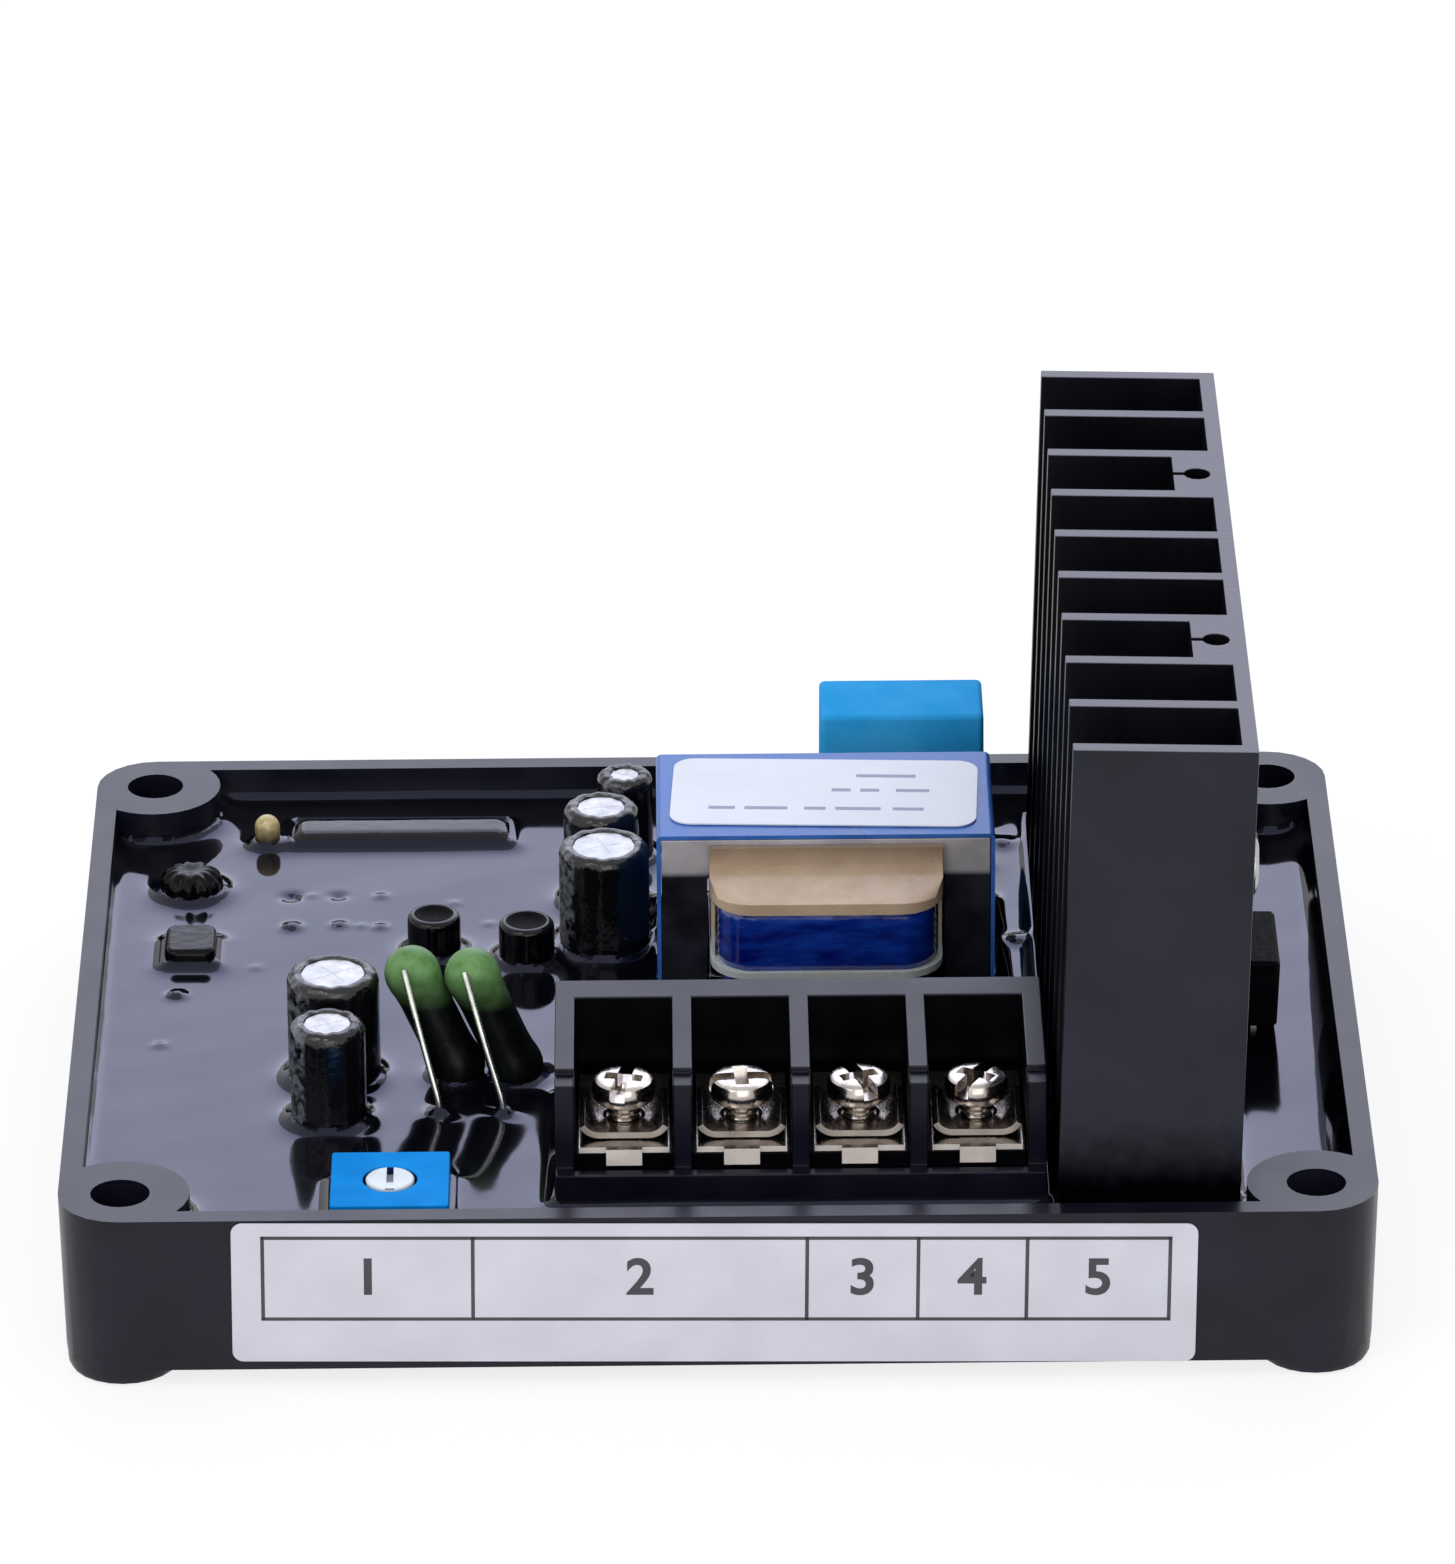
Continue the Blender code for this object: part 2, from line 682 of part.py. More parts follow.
def make_device(mat, screw_mat):
    centre, hole_z = device_hole_place()
    back = SINK_DEPTH + SEAT_GAP
    front = back + DEVICE_BODY_THICKNESS
    half = DEVICE_WIDTH / 2
    low = DEVICE_CLEARANCE
    body_top = low + DEVICE_BODY_HEIGHT
    device = block(
        "power_transistor",
        (back + 2 * FILM_GAP, centre - half, low), (front, centre + half, body_top),
        edge=0.0003,
    )
    tab = block(
        "device_tab",
        (back, centre - half + OVERLAP, low + OVERLAP),
        (back + DEVICE_TAB_THICKNESS, centre + half - OVERLAP, body_top + DEVICE_TAB_HEIGHT),
    )
    leg_x = back + DEVICE_LEG_SETBACK
    tail = TAIL_END - PART_SEAT
    legs = []
    for step in (-1, 0, 1):
        y = centre + step * DEVICE_LEG_PITCH
        reach_x = DEVICE_LEG_THICKNESS / 2
        reach_y = DEVICE_LEG_WIDTH / 2
        legs.append(block(
            "device_leg", (leg_x - reach_x, y - reach_y, tail),
            (leg_x + reach_x, y + reach_y, low + OVERLAP),
        ))
        hole = block(
            "device_leg_pocket",
            (leg_x - reach_x - POCKET_GAP, y - reach_y - POCKET_GAP, -CUT_OVER),
            (leg_x + reach_x + POCKET_GAP, y + reach_y + POCKET_GAP,
             RESIN_LEVEL - PART_SEAT + CUT_OVER),
        )
        on_sink(hole)
        pocket(hole)
        world = sink_frame.matrix_world @ Vector((leg_x, y, BOARD_TOP - PART_SEAT))
        board_drills.append(((world.x, world.y), reach_y + DRILL_CLEARANCE))
    bore = turned_bar_x("device_bore", DEVICE_HOLE / 2, back - CUT_OVER, front, (centre, hole_z))
    join(device, tab, *legs)
    cut(device, bore)
    show(device, mat)
    for obj in (device, tab, bore, *legs):
        on_sink(obj)
    seat = back + DEVICE_TAB_THICKNESS + SEAT_GAP
    head = DEVICE_SCREW_HEAD / 2
    shank = DEVICE_SCREW_DIAMETER / 2
    screw = turned(
        "power_transistor_screw",
        (
            (0, seat + DEVICE_SCREW_HEAD_HEIGHT),
            (head * 0.7, seat + DEVICE_SCREW_HEAD_HEIGHT),
            (head, seat + DEVICE_SCREW_HEAD_HEIGHT * 0.5),
            (head, seat),
            (shank, seat),
            (shank, seat - DEVICE_SCREW_LENGTH + shank / 2),
            (shank / 2, seat - DEVICE_SCREW_LENGTH),
            (0, seat - DEVICE_SCREW_LENGTH),
        ),
        (0, 0), SMALL,
    )
    screw.data.transform(Matrix.Rotation(pi / 2, 4, "Y"))
    screw.location = (0, centre, hole_z)
    show(screw, screw_mat)
    on_sink(screw)


# Terminal block

def way_x(way):
    return TERMINAL_X + (way - (WAYS - 1) / 2) * WAY_PITCH


def make_terminal_housing(mat):
    half = TERMINAL_LENGTH / 2
    front = TERMINAL_FRONT_Y
    rear = front + TERMINAL_DEPTH
    face = front + DIVIDER_SETBACK
    section = [
        (front, PART_SEAT),
        (rear, PART_SEAT),
        (rear, TERMINAL_TOP),
        (face + DIVIDER_STEP_LENGTH, TERMINAL_TOP),
        (face + DIVIDER_STEP_LENGTH, TERMINAL_TOP - DIVIDER_STEP),
        (face, TERMINAL_TOP - DIVIDER_STEP),
        (face, SILL_TOP),
        (front, SILL_TOP),
    ]
    housing = outline_slab("terminal_housing", section, 2 * half, upright_section(TERMINAL_X))
    bay = (WAY_PITCH - DIVIDER_THICKNESS) / 2
    floor_front = front + BAY_FLOOR_SETBACK
    screw_y = front + SCREW_SETBACK
    pin_y = pin_centre_y()
    tools = []
    for way in range(WAYS):
        x = way_x(way)
        tools.append(block(
            "bay", (x - bay, front - CUT_OVER, BAY_FLOOR),
            (x + bay, rear - REAR_WALL, TERMINAL_TOP + CUT_OVER),
        ))
        tools.append(block(
            "bay_front", (x - bay, face - OVERLAP, SILL_TOP - SILL_POCKET_DROP),
            (x + bay, floor_front, BAY_FLOOR + OVERLAP),
        ))
        well_floor = head_seat_z() - SCREW_RAISED - SCREW_LENGTH - RUN_GAP
        tools.append(bar(
            "shank_well", SCREW_DIAMETER / 2 + 2 * RUN_GAP, well_floor, BAY_FLOOR + OVERLAP,
            (x, screw_y), SMALL,
        ))
        tools.append(block(
            "pin_slot",
            (x - PIN_WIDTH / 2 - SEAT_GAP, pin_y - PIN_THICKNESS / 2 - SEAT_GAP, 0),
            (x + PIN_WIDTH / 2 + SEAT_GAP, pin_y + PIN_THICKNESS / 2 + SEAT_GAP,
             BAY_FLOOR + OVERLAP),
        ))
    cut(housing, *tools)
    show(housing, mat)
    pocket_block(
        "terminal_pocket", (TERMINAL_X - half, front, 0), (TERMINAL_X + half, rear, 0)
    )


def plate_top_z():
    return BAY_FLOOR + SEAT_GAP + PLATE_THICKNESS


def plate_front_y():
    return TERMINAL_FRONT_Y + BAY_FLOOR_SETBACK - PLATE_OVERHANG


def pin_centre_y():
    return plate_front_y() + PLATE_LENGTH - PIN_THICKNESS


def washer_z():
    return plate_top_z() + STRAP_PROUD + WASHER_REST


def head_seat_z():
    return washer_z() + WASHER_THICKNESS + SCREW_RAISED


def make_contact_plates(mat):
    x = way_x(0)
    half = (WAY_PITCH - DIVIDER_THICKNESS) / 2 - PLATE_SIDE_GAP
    top = plate_top_z()
    front = plate_front_y()
    plate = block("contact_plate_1", (x - half, front, top - PLATE_THICKNESS),
                  (x + half, front + PLATE_LENGTH, top))
    strap_top = top + STRAP_PROUD
    inner = top - PLATE_THICKNESS - STRAP_PROUD
    section = [
        (front - PLATE_THICKNESS, strap_top),
        (front - PLATE_THICKNESS, top - TAB_DROP),
        (front + STRAP_PROUD, top - TAB_DROP),
        (front + STRAP_PROUD, inner),
        (front + PLATE_LENGTH - PIN_THICKNESS / 4, inner),
        (front + PLATE_LENGTH - PIN_THICKNESS / 4, strap_top),
    ]
    strap = outline_slab("plate_strap", section, STRAP_WIDTH, upright_section(x))
    pin_y = pin_centre_y()
    pin = block(
        "plate_pin", (x - PIN_WIDTH / 2, pin_y - PIN_THICKNESS / 2, TAIL_END),
        (x + PIN_WIDTH / 2, pin_y + PIN_THICKNESS / 2, top - PLATE_THICKNESS / 2),
    )
    bore = bar("plate_bore", SCREW_DIAMETER / 2 + RUN_GAP, top - 4 * PLATE_THICKNESS,
               top + CUT_OVER, (x, TERMINAL_FRONT_Y + SCREW_SETBACK), ROUND)
    join(plate, strap, pin)
    cut(plate, bore)
    first = finished(plate)
    for way in range(WAYS):
        board_drills.append(((way_x(way), pin_y), PIN_WIDTH / 2 + 2 * DRILL_CLEARANCE))
        if way:
            show(copy_of(first, f"contact_plate_{way + 1}", (way * WAY_PITCH, 0, 0)), mat)
    show(first, mat)


def washer_section():
    """Flat in the middle, with both ends curled up on an arc."""
    flat = WASHER_WIDTH / 2 - (WASHER_CURL_RADIUS + WASHER_THICKNESS) * sin(WASHER_CURL)
    centre_z = WASHER_THICKNESS + WASHER_CURL_RADIUS
    steps = 4

    def arc(radius):
        return [
            (flat + radius * sin(WASHER_CURL * i / steps), centre_z - radius * cos(WASHER_CURL * i / steps))
            for i in range(steps + 1)
        ]

    lower = arc(WASHER_CURL_RADIUS + WASHER_THICKNESS)
    upper = arc(WASHER_CURL_RADIUS)
    right = lower + upper[::-1]
    left = [(-u, v) for u, v in right[::-1]]
    return left + right


def make_clamp_washers(mat):
    x = way_x(0)
    y = TERMINAL_FRONT_Y + SCREW_SETBACK
    place = Matrix(((1, 0, 0, x), (0, 0, -1, y), (0, 1, 0, washer_z()), (0, 0, 0, 1)))
    washer = outline_slab("clamp_washer_1", washer_section(), WASHER_DEPTH, place)
    bore = bar("washer_bore", SCREW_DIAMETER / 2 + RUN_GAP, washer_z() - CUT_OVER,
               washer_z() + 3 * WASHER_THICKNESS, (x, y), ROUND)
    cut(washer, bore)
    first = finished(washer)
    for way in range(1, WAYS):
        show(copy_of(first, f"clamp_washer_{way + 1}", (way * WAY_PITCH, 0, 0)), mat)
    show(first, mat)


def cross_outline(span, width):
    """A plus sign."""
    long = span / 2
    short = width / 2
    return [
        (long, -short), (long, short), (short, short), (short, long), (-short, long),
        (-short, short), (-long, short), (-long, -short), (-short, -short), (-short, -long),
        (short, -long), (short, -short),
    ]


def make_terminal_screws(mat):
    y = TERMINAL_FRONT_Y + SCREW_SETBACK
    seat = head_seat_z()
    top = seat + SCREW_HEAD_HEIGHT
    head = SCREW_HEAD / 2
    shank = SCREW_DIAMETER / 2
    at = (way_x(0), y)
    screw = turned(
        "terminal_screw_1",
        (
            (0, top),
            (head * 0.45, top - SCREW_HEAD_HEIGHT * 0.06),
            (head * 0.8, top - SCREW_HEAD_HEIGHT * 0.25),
            (head, top - SCREW_HEAD_HEIGHT * 0.6),
            (head, seat),
            (shank, seat),
            (shank, seat - SCREW_LENGTH + shank / 2),
            (shank / 2, seat - SCREW_LENGTH),
            (0, seat - SCREW_LENGTH),
        ),
        at, ROUND,
    )
    recess = outline_slab(
        "screw_recess", cross_outline(RECESS_SPAN, RECESS_WIDTH), RECESS_DEPTH + CUT_OVER,
        Matrix.Translation((*at, top - RECESS_DEPTH / 2 + CUT_OVER / 2)) @ Matrix.Rotation(pi / 4, 4, "Z"),
    )
    for vert in recess.data.vertices:
        if vert.co.z < 0:
            vert.co.x *= 0.55
            vert.co.y *= 0.55
    cut(screw, recess)
    first = finished(screw)
    for way in range(1, WAYS):
        show(copy_of(first, f"terminal_screw_{way + 1}", (way * WAY_PITCH, 0, 0)), mat)
    show(first, mat)


# Trimmer

def make_trimmer(body_mat, rotor_mat):
    half = TRIMMER_SIDE / 2
    at = (TRIMMER_X, TRIMMER_Y)
    body = block(
        "trimmer_body",
        (at[0] - half, at[1] - half, PART_SEAT), (at[0] + half, at[1] + half, TRIMMER_TOP),
        edge=TRIMMER_EDGE,
    )
    rotor_low = TRIMMER_TOP + ROTOR_PROUD - ROTOR_HEIGHT
    well = bar("rotor_well", ROTOR_DIAMETER / 2 + RUN_GAP, rotor_low - RUN_GAP,
               TRIMMER_TOP + CUT_OVER, at, ROUND)
    pins = [
        lead("trimmer_pin", (at[0] + step * TRIMMER_PIN_PITCH, at[1] + abs(step) * TRIMMER_PIN_PITCH),
             PART_SEAT + OVERLAP)
        for step in (-1, 0, 1)
    ]
    join(body, *pins)
    cut(body, well)
    show(body, body_mat)
    radius = ROTOR_DIAMETER / 2
    top = TRIMMER_TOP + ROTOR_PROUD
    rotor = turned(
        "trimmer_rotor",
        ((0, top), (radius - ROTOR_PROUD, top), (radius, top - ROTOR_PROUD), (radius, rotor_low),
         (0, rotor_low)),
        at, ROUND,
    )
    slot = block(
        "rotor_slot",
        (at[0] - ROTOR_SLOT_WIDTH / 2, at[1] - ROTOR_SLOT_WIDTH, top - ROTOR_SLOT_DEPTH),
        (at[0] + ROTOR_SLOT_WIDTH / 2, at[1] + radius + CUT_OVER, top + CUT_OVER),
    )
    cut(rotor, slot)
    show(rotor, rotor_mat)
    pocket_block("trimmer_pocket", (at[0] - half, at[1] - half, 0), (at[0] + half, at[1] + half, 0))


# Transformer

CORE_REAR_Y = CORE_FRONT_Y + CORE_STACK
CORE_MIDDLE_Y = CORE_FRONT_Y + CORE_STACK / 2
CORE_BOTTOM = PART_SEAT
WINDOW_HALF = CORE_WIDTH / 2 - CORE_LEG
WINDOW_LOW = CORE_BOTTOM + CORE_YOKE
WINDOW_HIGH = CORE_TOP - CORE_YOKE
FLANGE_HALF = WINDOW_HALF - SEAT_GAP
FLANGE_FRONT_Y = CORE_FRONT_Y - BOBBIN_REACH
FLANGE_REAR_Y = CORE_REAR_Y + BOBBIN_REACH
TUBE_IN_X = CORE_CENTRE_LEG / 2 + SEAT_GAP
TUBE_OUT_X = TUBE_IN_X + BOBBIN_WALL
TUBE_IN_Y = CORE_STACK / 2 + SEAT_GAP
TUBE_OUT_Y = TUBE_IN_Y + BOBBIN_WALL


def make_core(mat):
    core = block(
        "transformer_core",
        (CORE_X - CORE_WIDTH / 2, CORE_FRONT_Y, CORE_BOTTOM),
        (CORE_X + CORE_WIDTH / 2, CORE_REAR_Y, CORE_TOP),
    )
    windows = [
        block(
            "core_window",
            (CORE_X + min(side * CORE_CENTRE_LEG / 2, side * WINDOW_HALF),
             CORE_FRONT_Y - CUT_OVER, WINDOW_LOW),
            (CORE_X + max(side * CORE_CENTRE_LEG / 2, side * WINDOW_HALF),
             CORE_REAR_Y + CUT_OVER, WINDOW_HIGH),
        )
        for side in (-1, 1)
    ]
    cut(core, *windows)
    show(core, mat)
    pocket_block(
        "core_pocket",
        (CORE_X - CORE_WIDTH / 2 - TAPE_THICKNESS - FILM_GAP, CORE_FRONT_Y, 0),
        (CORE_X + CORE_WIDTH / 2 + TAPE_THICKNESS + FILM_GAP, CORE_REAR_Y, 0),
    )


def top_flange(top_z):
    """A plate in the core's window, and outside the core a slope with a lip at the yoke."""
    low = top_z - FLANGE_THICKNESS
    near = CORE_STACK / 2 + SEAT_GAP
    far = CORE_STACK / 2 + BOBBIN_REACH
    side = [
        (far, low),
        (far, low + FLANGE_RIM),
        (near + GUARD_LIP, low + FLANGE_RIM + GUARD_RISE),
        (near + GUARD_LIP, GUARD_LIP_TOP),
        (near, GUARD_LIP_TOP),
        (near, top_z),
    ]
    section = side + [(-u, v) for u, v in side[::-1]]
    piece = outline_slab("top_flange", section, 2 * FLANGE_HALF)
    bm = bmesh.new()
    bm.from_mesh(piece.data)
    bpy.data.objects.remove(piece)
    bm.transform(upright_section(0))
    tips = [
        e for e in bm.edges
        if all(abs(abs(v.co.y) - far) < FILM_GAP and abs(abs(v.co.x) - FLANGE_HALF) < FILM_GAP
               for v in e.verts) and abs(e.verts[0].co.z - e.verts[1].co.z) > FILM_GAP
    ]
    bmesh.ops.bevel(bm, geom=tips, offset=BOBBIN_CORNER, segments=5, profile=0.5, affect="EDGES")
    return add_mesh("top_flange", bm, (CORE_X, CORE_MIDDLE_Y, 0))


def make_bobbin(mat):
    top_z = WINDOW_HIGH - SEAT_GAP
    low_z = WINDOW_LOW + SEAT_GAP
    bobbin = block(
        "transformer_bobbin",
        (CORE_X - FLANGE_HALF, FLANGE_FRONT_Y, low_z),
        (CORE_X + FLANGE_HALF, FLANGE_REAR_Y, low_z + FLANGE_THICKNESS),
        BOBBIN_CORNER, steps=5,
    )
    middle = block(
        "middle_flange",
        (CORE_X - FLANGE_HALF, FLANGE_FRONT_Y, MIDDLE_FLANGE_Z),
        (CORE_X + FLANGE_HALF, FLANGE_REAR_Y, MIDDLE_FLANGE_Z + FLANGE_THICKNESS),
        BOBBIN_CORNER, steps=5,
    )
    tube = block(
        "bobbin_tube",
        (CORE_X - TUBE_OUT_X, CORE_MIDDLE_Y - TUBE_OUT_Y, low_z + FLANGE_THICKNESS / 2),
        (CORE_X + TUBE_OUT_X, CORE_MIDDLE_Y + TUBE_OUT_Y, top_z - FLANGE_THICKNESS / 2),
    )
    rails = []
    webs = []
    pins = []
    for side in (-1, 1):
        inner = CORE_MIDDLE_Y + side * (CORE_STACK / 2 + SEAT_GAP)
        outer = inner + side * (BOBBIN_REACH - BOBBIN_CORNER)
        rail_half = FLANGE_HALF - BOBBIN_CORNER / 2
        rails.append(block(
            "pin_rail", (CORE_X - rail_half, min(inner, outer), CORE_BOTTOM),
            (CORE_X + rail_half, max(inner, outer), low_z + FLANGE_THICKNESS / 2),
        ))
        pin_pitch = 2 * (rail_half - TRANSFORMER_PIN_EDGE) / PIN_RAIL_PINS
        pins += [
            lead("transformer_pin",
                 (CORE_X + (i - (PIN_RAIL_PINS - 1) / 2) * pin_pitch, (inner + outer) / 2),
                 CORE_BOTTOM + OVERLAP)
            for i in range(PIN_RAIL_PINS)
        ]
        for end in (-1, 1):
            edge = CORE_X + end * (FLANGE_HALF - WEB_INSET)
            wall = edge - end * WEB_THICKNESS
            web_far = inner + side * (BOBBIN_REACH - BOBBIN_CORNER)
            webs.append(block(
                "web", (min(edge, wall), min(inner, web_far), MIDDLE_FLANGE_Z + FLANGE_THICKNESS / 2),
                (max(edge, wall), max(inner, web_far), top_z - FLANGE_THICKNESS / 2),
            ))
    join(bobbin, tube, middle, top_flange(top_z), *rails, *webs, *pins)
    opening = block(
        "tube_opening",
        (CORE_X - TUBE_IN_X, CORE_MIDDLE_Y - TUBE_IN_Y, low_z - CUT_OVER),
        (CORE_X + TUBE_IN_X, CORE_MIDDLE_Y + TUBE_IN_Y, top_z + CUT_OVER),
    )
    cut(bobbin, opening)
    show(bobbin, mat)
    pocket_block(
        "bobbin_pocket",
        (CORE_X - FLANGE_HALF, FLANGE_FRONT_Y, 0), (CORE_X + FLANGE_HALF, FLANGE_REAR_Y, 0),
        BOBBIN_CORNER,
    )


def make_winding(name, z_low, z_high, mat):
    half = FLANGE_HALF - WINDING_SIDE_GAP
    winding = block(
        name,
        (CORE_X - half, FLANGE_FRONT_Y + WINDING_SETBACK, z_low),
        (CORE_X + half, FLANGE_REAR_Y - WINDING_SETBACK, z_high),
        WINDING_CORNER,
    )
    bore = block(
        name + "_bore",
        (CORE_X - TUBE_OUT_X - SEAT_GAP, CORE_MIDDLE_Y - TUBE_OUT_Y - SEAT_GAP, z_low - CUT_OVER),
        (CORE_X + TUBE_OUT_X + SEAT_GAP, CORE_MIDDLE_Y + TUBE_OUT_Y + SEAT_GAP, z_high + CUT_OVER),
    )
    cut(winding, bore)
    show(winding, mat)


def make_windings(mat):
    top_z = WINDOW_HIGH - 2 * SEAT_GAP - FLANGE_THICKNESS
    make_winding("transformer_winding_upper", MIDDLE_FLANGE_Z + FLANGE_THICKNESS + SEAT_GAP, top_z, mat)
    low_z = WINDOW_LOW + 2 * SEAT_GAP + FLANGE_THICKNESS
    make_winding("transformer_winding_lower", low_z, MIDDLE_FLANGE_Z - SEAT_GAP, mat)


def make_tape(tape_mat, label_mat):
    inner = CORE_WIDTH / 2 + FILM_GAP
    outer = inner + TAPE_THICKNESS
    top = CORE_TOP + FILM_GAP + TAPE_THICKNESS
    tape = block(
        "transformer_tape", (CORE_X - outer, CORE_FRONT_Y, CORE_BOTTOM + SEAT_GAP),
        (CORE_X + outer, CORE_REAR_Y, top),
    )
    inside = block(
        "tape_inside", (CORE_X - inner, CORE_FRONT_Y - CUT_OVER, CORE_BOTTOM - CUT_OVER),
        (CORE_X + inner, CORE_REAR_Y + CUT_OVER, CORE_TOP + FILM_GAP),
    )
    cut(tape, inside)
    show(tape, tape_mat)
    length, width = TRANSFORMER_LABEL
    label = block(
        "transformer_label", (-length / 2, -width / 2, 0), (length / 2, width / 2, LABEL_FILM),
        TRANSFORMER_LABEL_CORNER,
    )
    label.location = (CORE_X, CORE_MIDDLE_Y, top + FILM_GAP + LABEL_FILM / 2)
    label.rotation_euler = (0, 0, TRANSFORMER_LABEL_TURN)
    show(label, label_mat)


# Other board parts

def make_box_capacitor(mat):
    half = BOX_CAP_WIDTH / 2
    front = BOX_CAP_FRONT_Y
    low = (BOX_CAP_X - half, front, PART_SEAT)
    high = (BOX_CAP_X + half, front + BOX_CAP_DEPTH, BOX_CAP_TOP)
    box = block("box_capacitor", low, high, edge=BOX_CAP_EDGE)
    leads = [
        lead("box_lead", (BOX_CAP_X + side * BOX_CAP_LEAD_PITCH / 2, front + BOX_CAP_DEPTH / 2),
             PART_SEAT + OVERLAP)
        for side in (-1, 1)
    ]
    join(box, *leads)
    show(box, mat)
    pocket_block("box_pocket", low, high)


def make_electrolytic(corner, name, x, y, radius, top, can_mat, sleeve_mat):
    """An aluminium can in a shrunk sleeve, whose lip folds over the can's edge."""
    x += corner.x
    y += corner.y
    inner = radius - SLEEVE_THICKNESS
    can = inner - SLEEVE_GAP
    can_top = top - CAN_RECESS - SLEEVE_GAP
    body = turned(
        name + "_can",
        ((0, can_top), (can - SLEEVE_SHOULDER, can_top),
         (can - SLEEVE_SHOULDER * 0.3, can_top - SLEEVE_SHOULDER * 0.3),
         (can, can_top - SLEEVE_SHOULDER), (can, PART_SEAT), (0, PART_SEAT)),
        (x, y),
    )
    spread = radius * CAN_LEAD_PITCH_RATIO
    leads = [lead("can_lead", (x + side * spread, y), PART_SEAT + OVERLAP) for side in (-1, 1)]
    join(body, *leads)
    show(body, can_mat)
    sleeve = turned(
        name + "_sleeve",
        (
            (radius - SLEEVE_LIP, top),
            (radius - SLEEVE_SHOULDER * 0.8, top),
            (radius - SLEEVE_SHOULDER * 0.25, top - SLEEVE_SHOULDER * 0.25),
            (radius, top - SLEEVE_SHOULDER * 0.8),
            (radius, PART_SEAT + SEAT_GAP),
            (inner, PART_SEAT + SEAT_GAP),
            (inner, top - SLEEVE_SHOULDER),
            (inner - SLEEVE_SHOULDER * 0.3, top - SLEEVE_SHOULDER * 0.42),
            (radius - SLEEVE_LIP, top - CAN_RECESS),
        ),
        (x, y), closed=True,
    )
    show(sleeve, sleeve_mat)
    pocket_bar(name + "_pocket", radius, (x, y))


def make_small_capacitor(name, x, y, radius, top, mat):
    x += CORE_CORNER.x
    y += CORE_CORNER.y
    edge = SMALL_CAPACITOR_EDGE
    body = turned(
        name,
        ((0, top - edge / 2), (radius - 2 * edge, top - edge / 2), (radius - 1.5 * edge, top),
         (radius - edge / 2, top - edge / 4), (radius, top - edge), (radius, PART_SEAT), (0, PART_SEAT)),
        (x, y), ROUND,
    )
    leads = [
        lead("small_lead", (x + side * radius * CAN_LEAD_PITCH_RATIO, y), PART_SEAT + OVERLAP)
        for side in (-1, 1)
    ]
    join(body, *leads)
    show(body, mat)
    pocket_bar(name + "_pocket", radius, (x, y))


def green_profile(radius, length):
    """Two balls and the barrel between them, about the barrel's middle, top to bottom."""
    steps = 5
    upper = [
        (radius * sin(pi / 2 * i / steps), length / 2 + radius * cos(pi / 2 * i / steps))
        for i in range(steps + 1)
    ]
    lower = [(r, -z) for r, z in upper[::-1]]
    return upper + lower


def make_green_resistor(number, places, mat, lead_mat):
    levels = (GREEN_FOOT_Z, GREEN_HEAD_Z, RESIN_LEVEL)
    foot, head, entry = (
        Vector((*(TERMINAL_CORNER + Vector(place)), level)) for place, level in zip(places, levels)
    )
    axis = head - foot
    place = Matrix.Translation((foot + head) / 2) @ axis.to_track_quat("Z", "Y").to_matrix().to_4x4()
    name = f"wirewound_resistor_{number}"
    body = turned(name, green_profile(GREEN_RADIUS, axis.length), (0, 0))
    body.matrix_world = place
    hole = turned(name + "_pocket", green_profile(GREEN_RADIUS + POCKET_GAP, axis.length), (0, 0))
    hole.matrix_world = place
    pocket(hole)
    tail = lead(name + "_tail", foot[:2], GREEN_FOOT_Z)
    pocket_bar(name + "_tail_pocket", LEAD_DIAMETER / 2, foot[:2], TINY)
    join(body, tail)
    show(body, mat)
    wire = GREEN_LEAD_DIAMETER / 2
    forward = Vector((-GREEN_LEAD_SIDE, -(GREEN_RADIUS + wire + SEAT_GAP), GREEN_RADIUS * 0.72))
    start = head + forward
    bend = entry + Vector((0, 0, GREEN_LEAD_BEND))
    middle = start.lerp(bend, 0.5)
    middle.y -= GREEN_LEAD_BEND / 2
    points = [start, middle, bend, entry - Vector((0, 0, GREEN_LEAD_BEND)),
              Vector((entry.x, entry.y, TAIL_END))]
    wire_object = wire_through(name + "_lead", points, wire)
    show(wire_object, lead_mat)
    board_drills.append((entry[:2], wire + DRILL_CLEARANCE))
    pocket_bar(name + "_lead_pocket", wire, entry[:2], TINY)


def wire_through(name, points, radius):
    curve = bpy.data.curves.new(name, "CURVE")
    curve.dimensions = "3D"
    curve.bevel_depth = radius
    curve.bevel_resolution = 2
    curve.use_fill_caps = True
    spline = curve.splines.new("POLY")
    spline.points.add(len(points) - 1)
    for spot, point in zip(spline.points, points):
        spot.co = (*point, 1)
    obj = bpy.data.objects.new(name, curve)
    cutters.objects.link(obj)
    bpy.context.view_layer.update()
    return baked(obj, name, smooth=True)


def make_low_block(name, place, length, width, top, edge, mat):
    centre = REAR_CORNER + Vector(place)
    low = (centre[0] - length / 2, centre[1] - width / 2, PART_SEAT)
    high = (centre[0] + length / 2, centre[1] + width / 2, top)
    body = block(name, low, high, corner=2 * edge, edge=edge, steps=2)
    spread = length * CAN_LEAD_PITCH_RATIO
    leads = [
        lead(name + "_tail", (centre[0] + side * spread, centre[1]), PART_SEAT + OVERLAP)
        for side in (-1, 1)
    ]
    join(body, *leads)
    show(body, mat)
    pocket_block(name + "_pocket", low, high, 2 * edge)


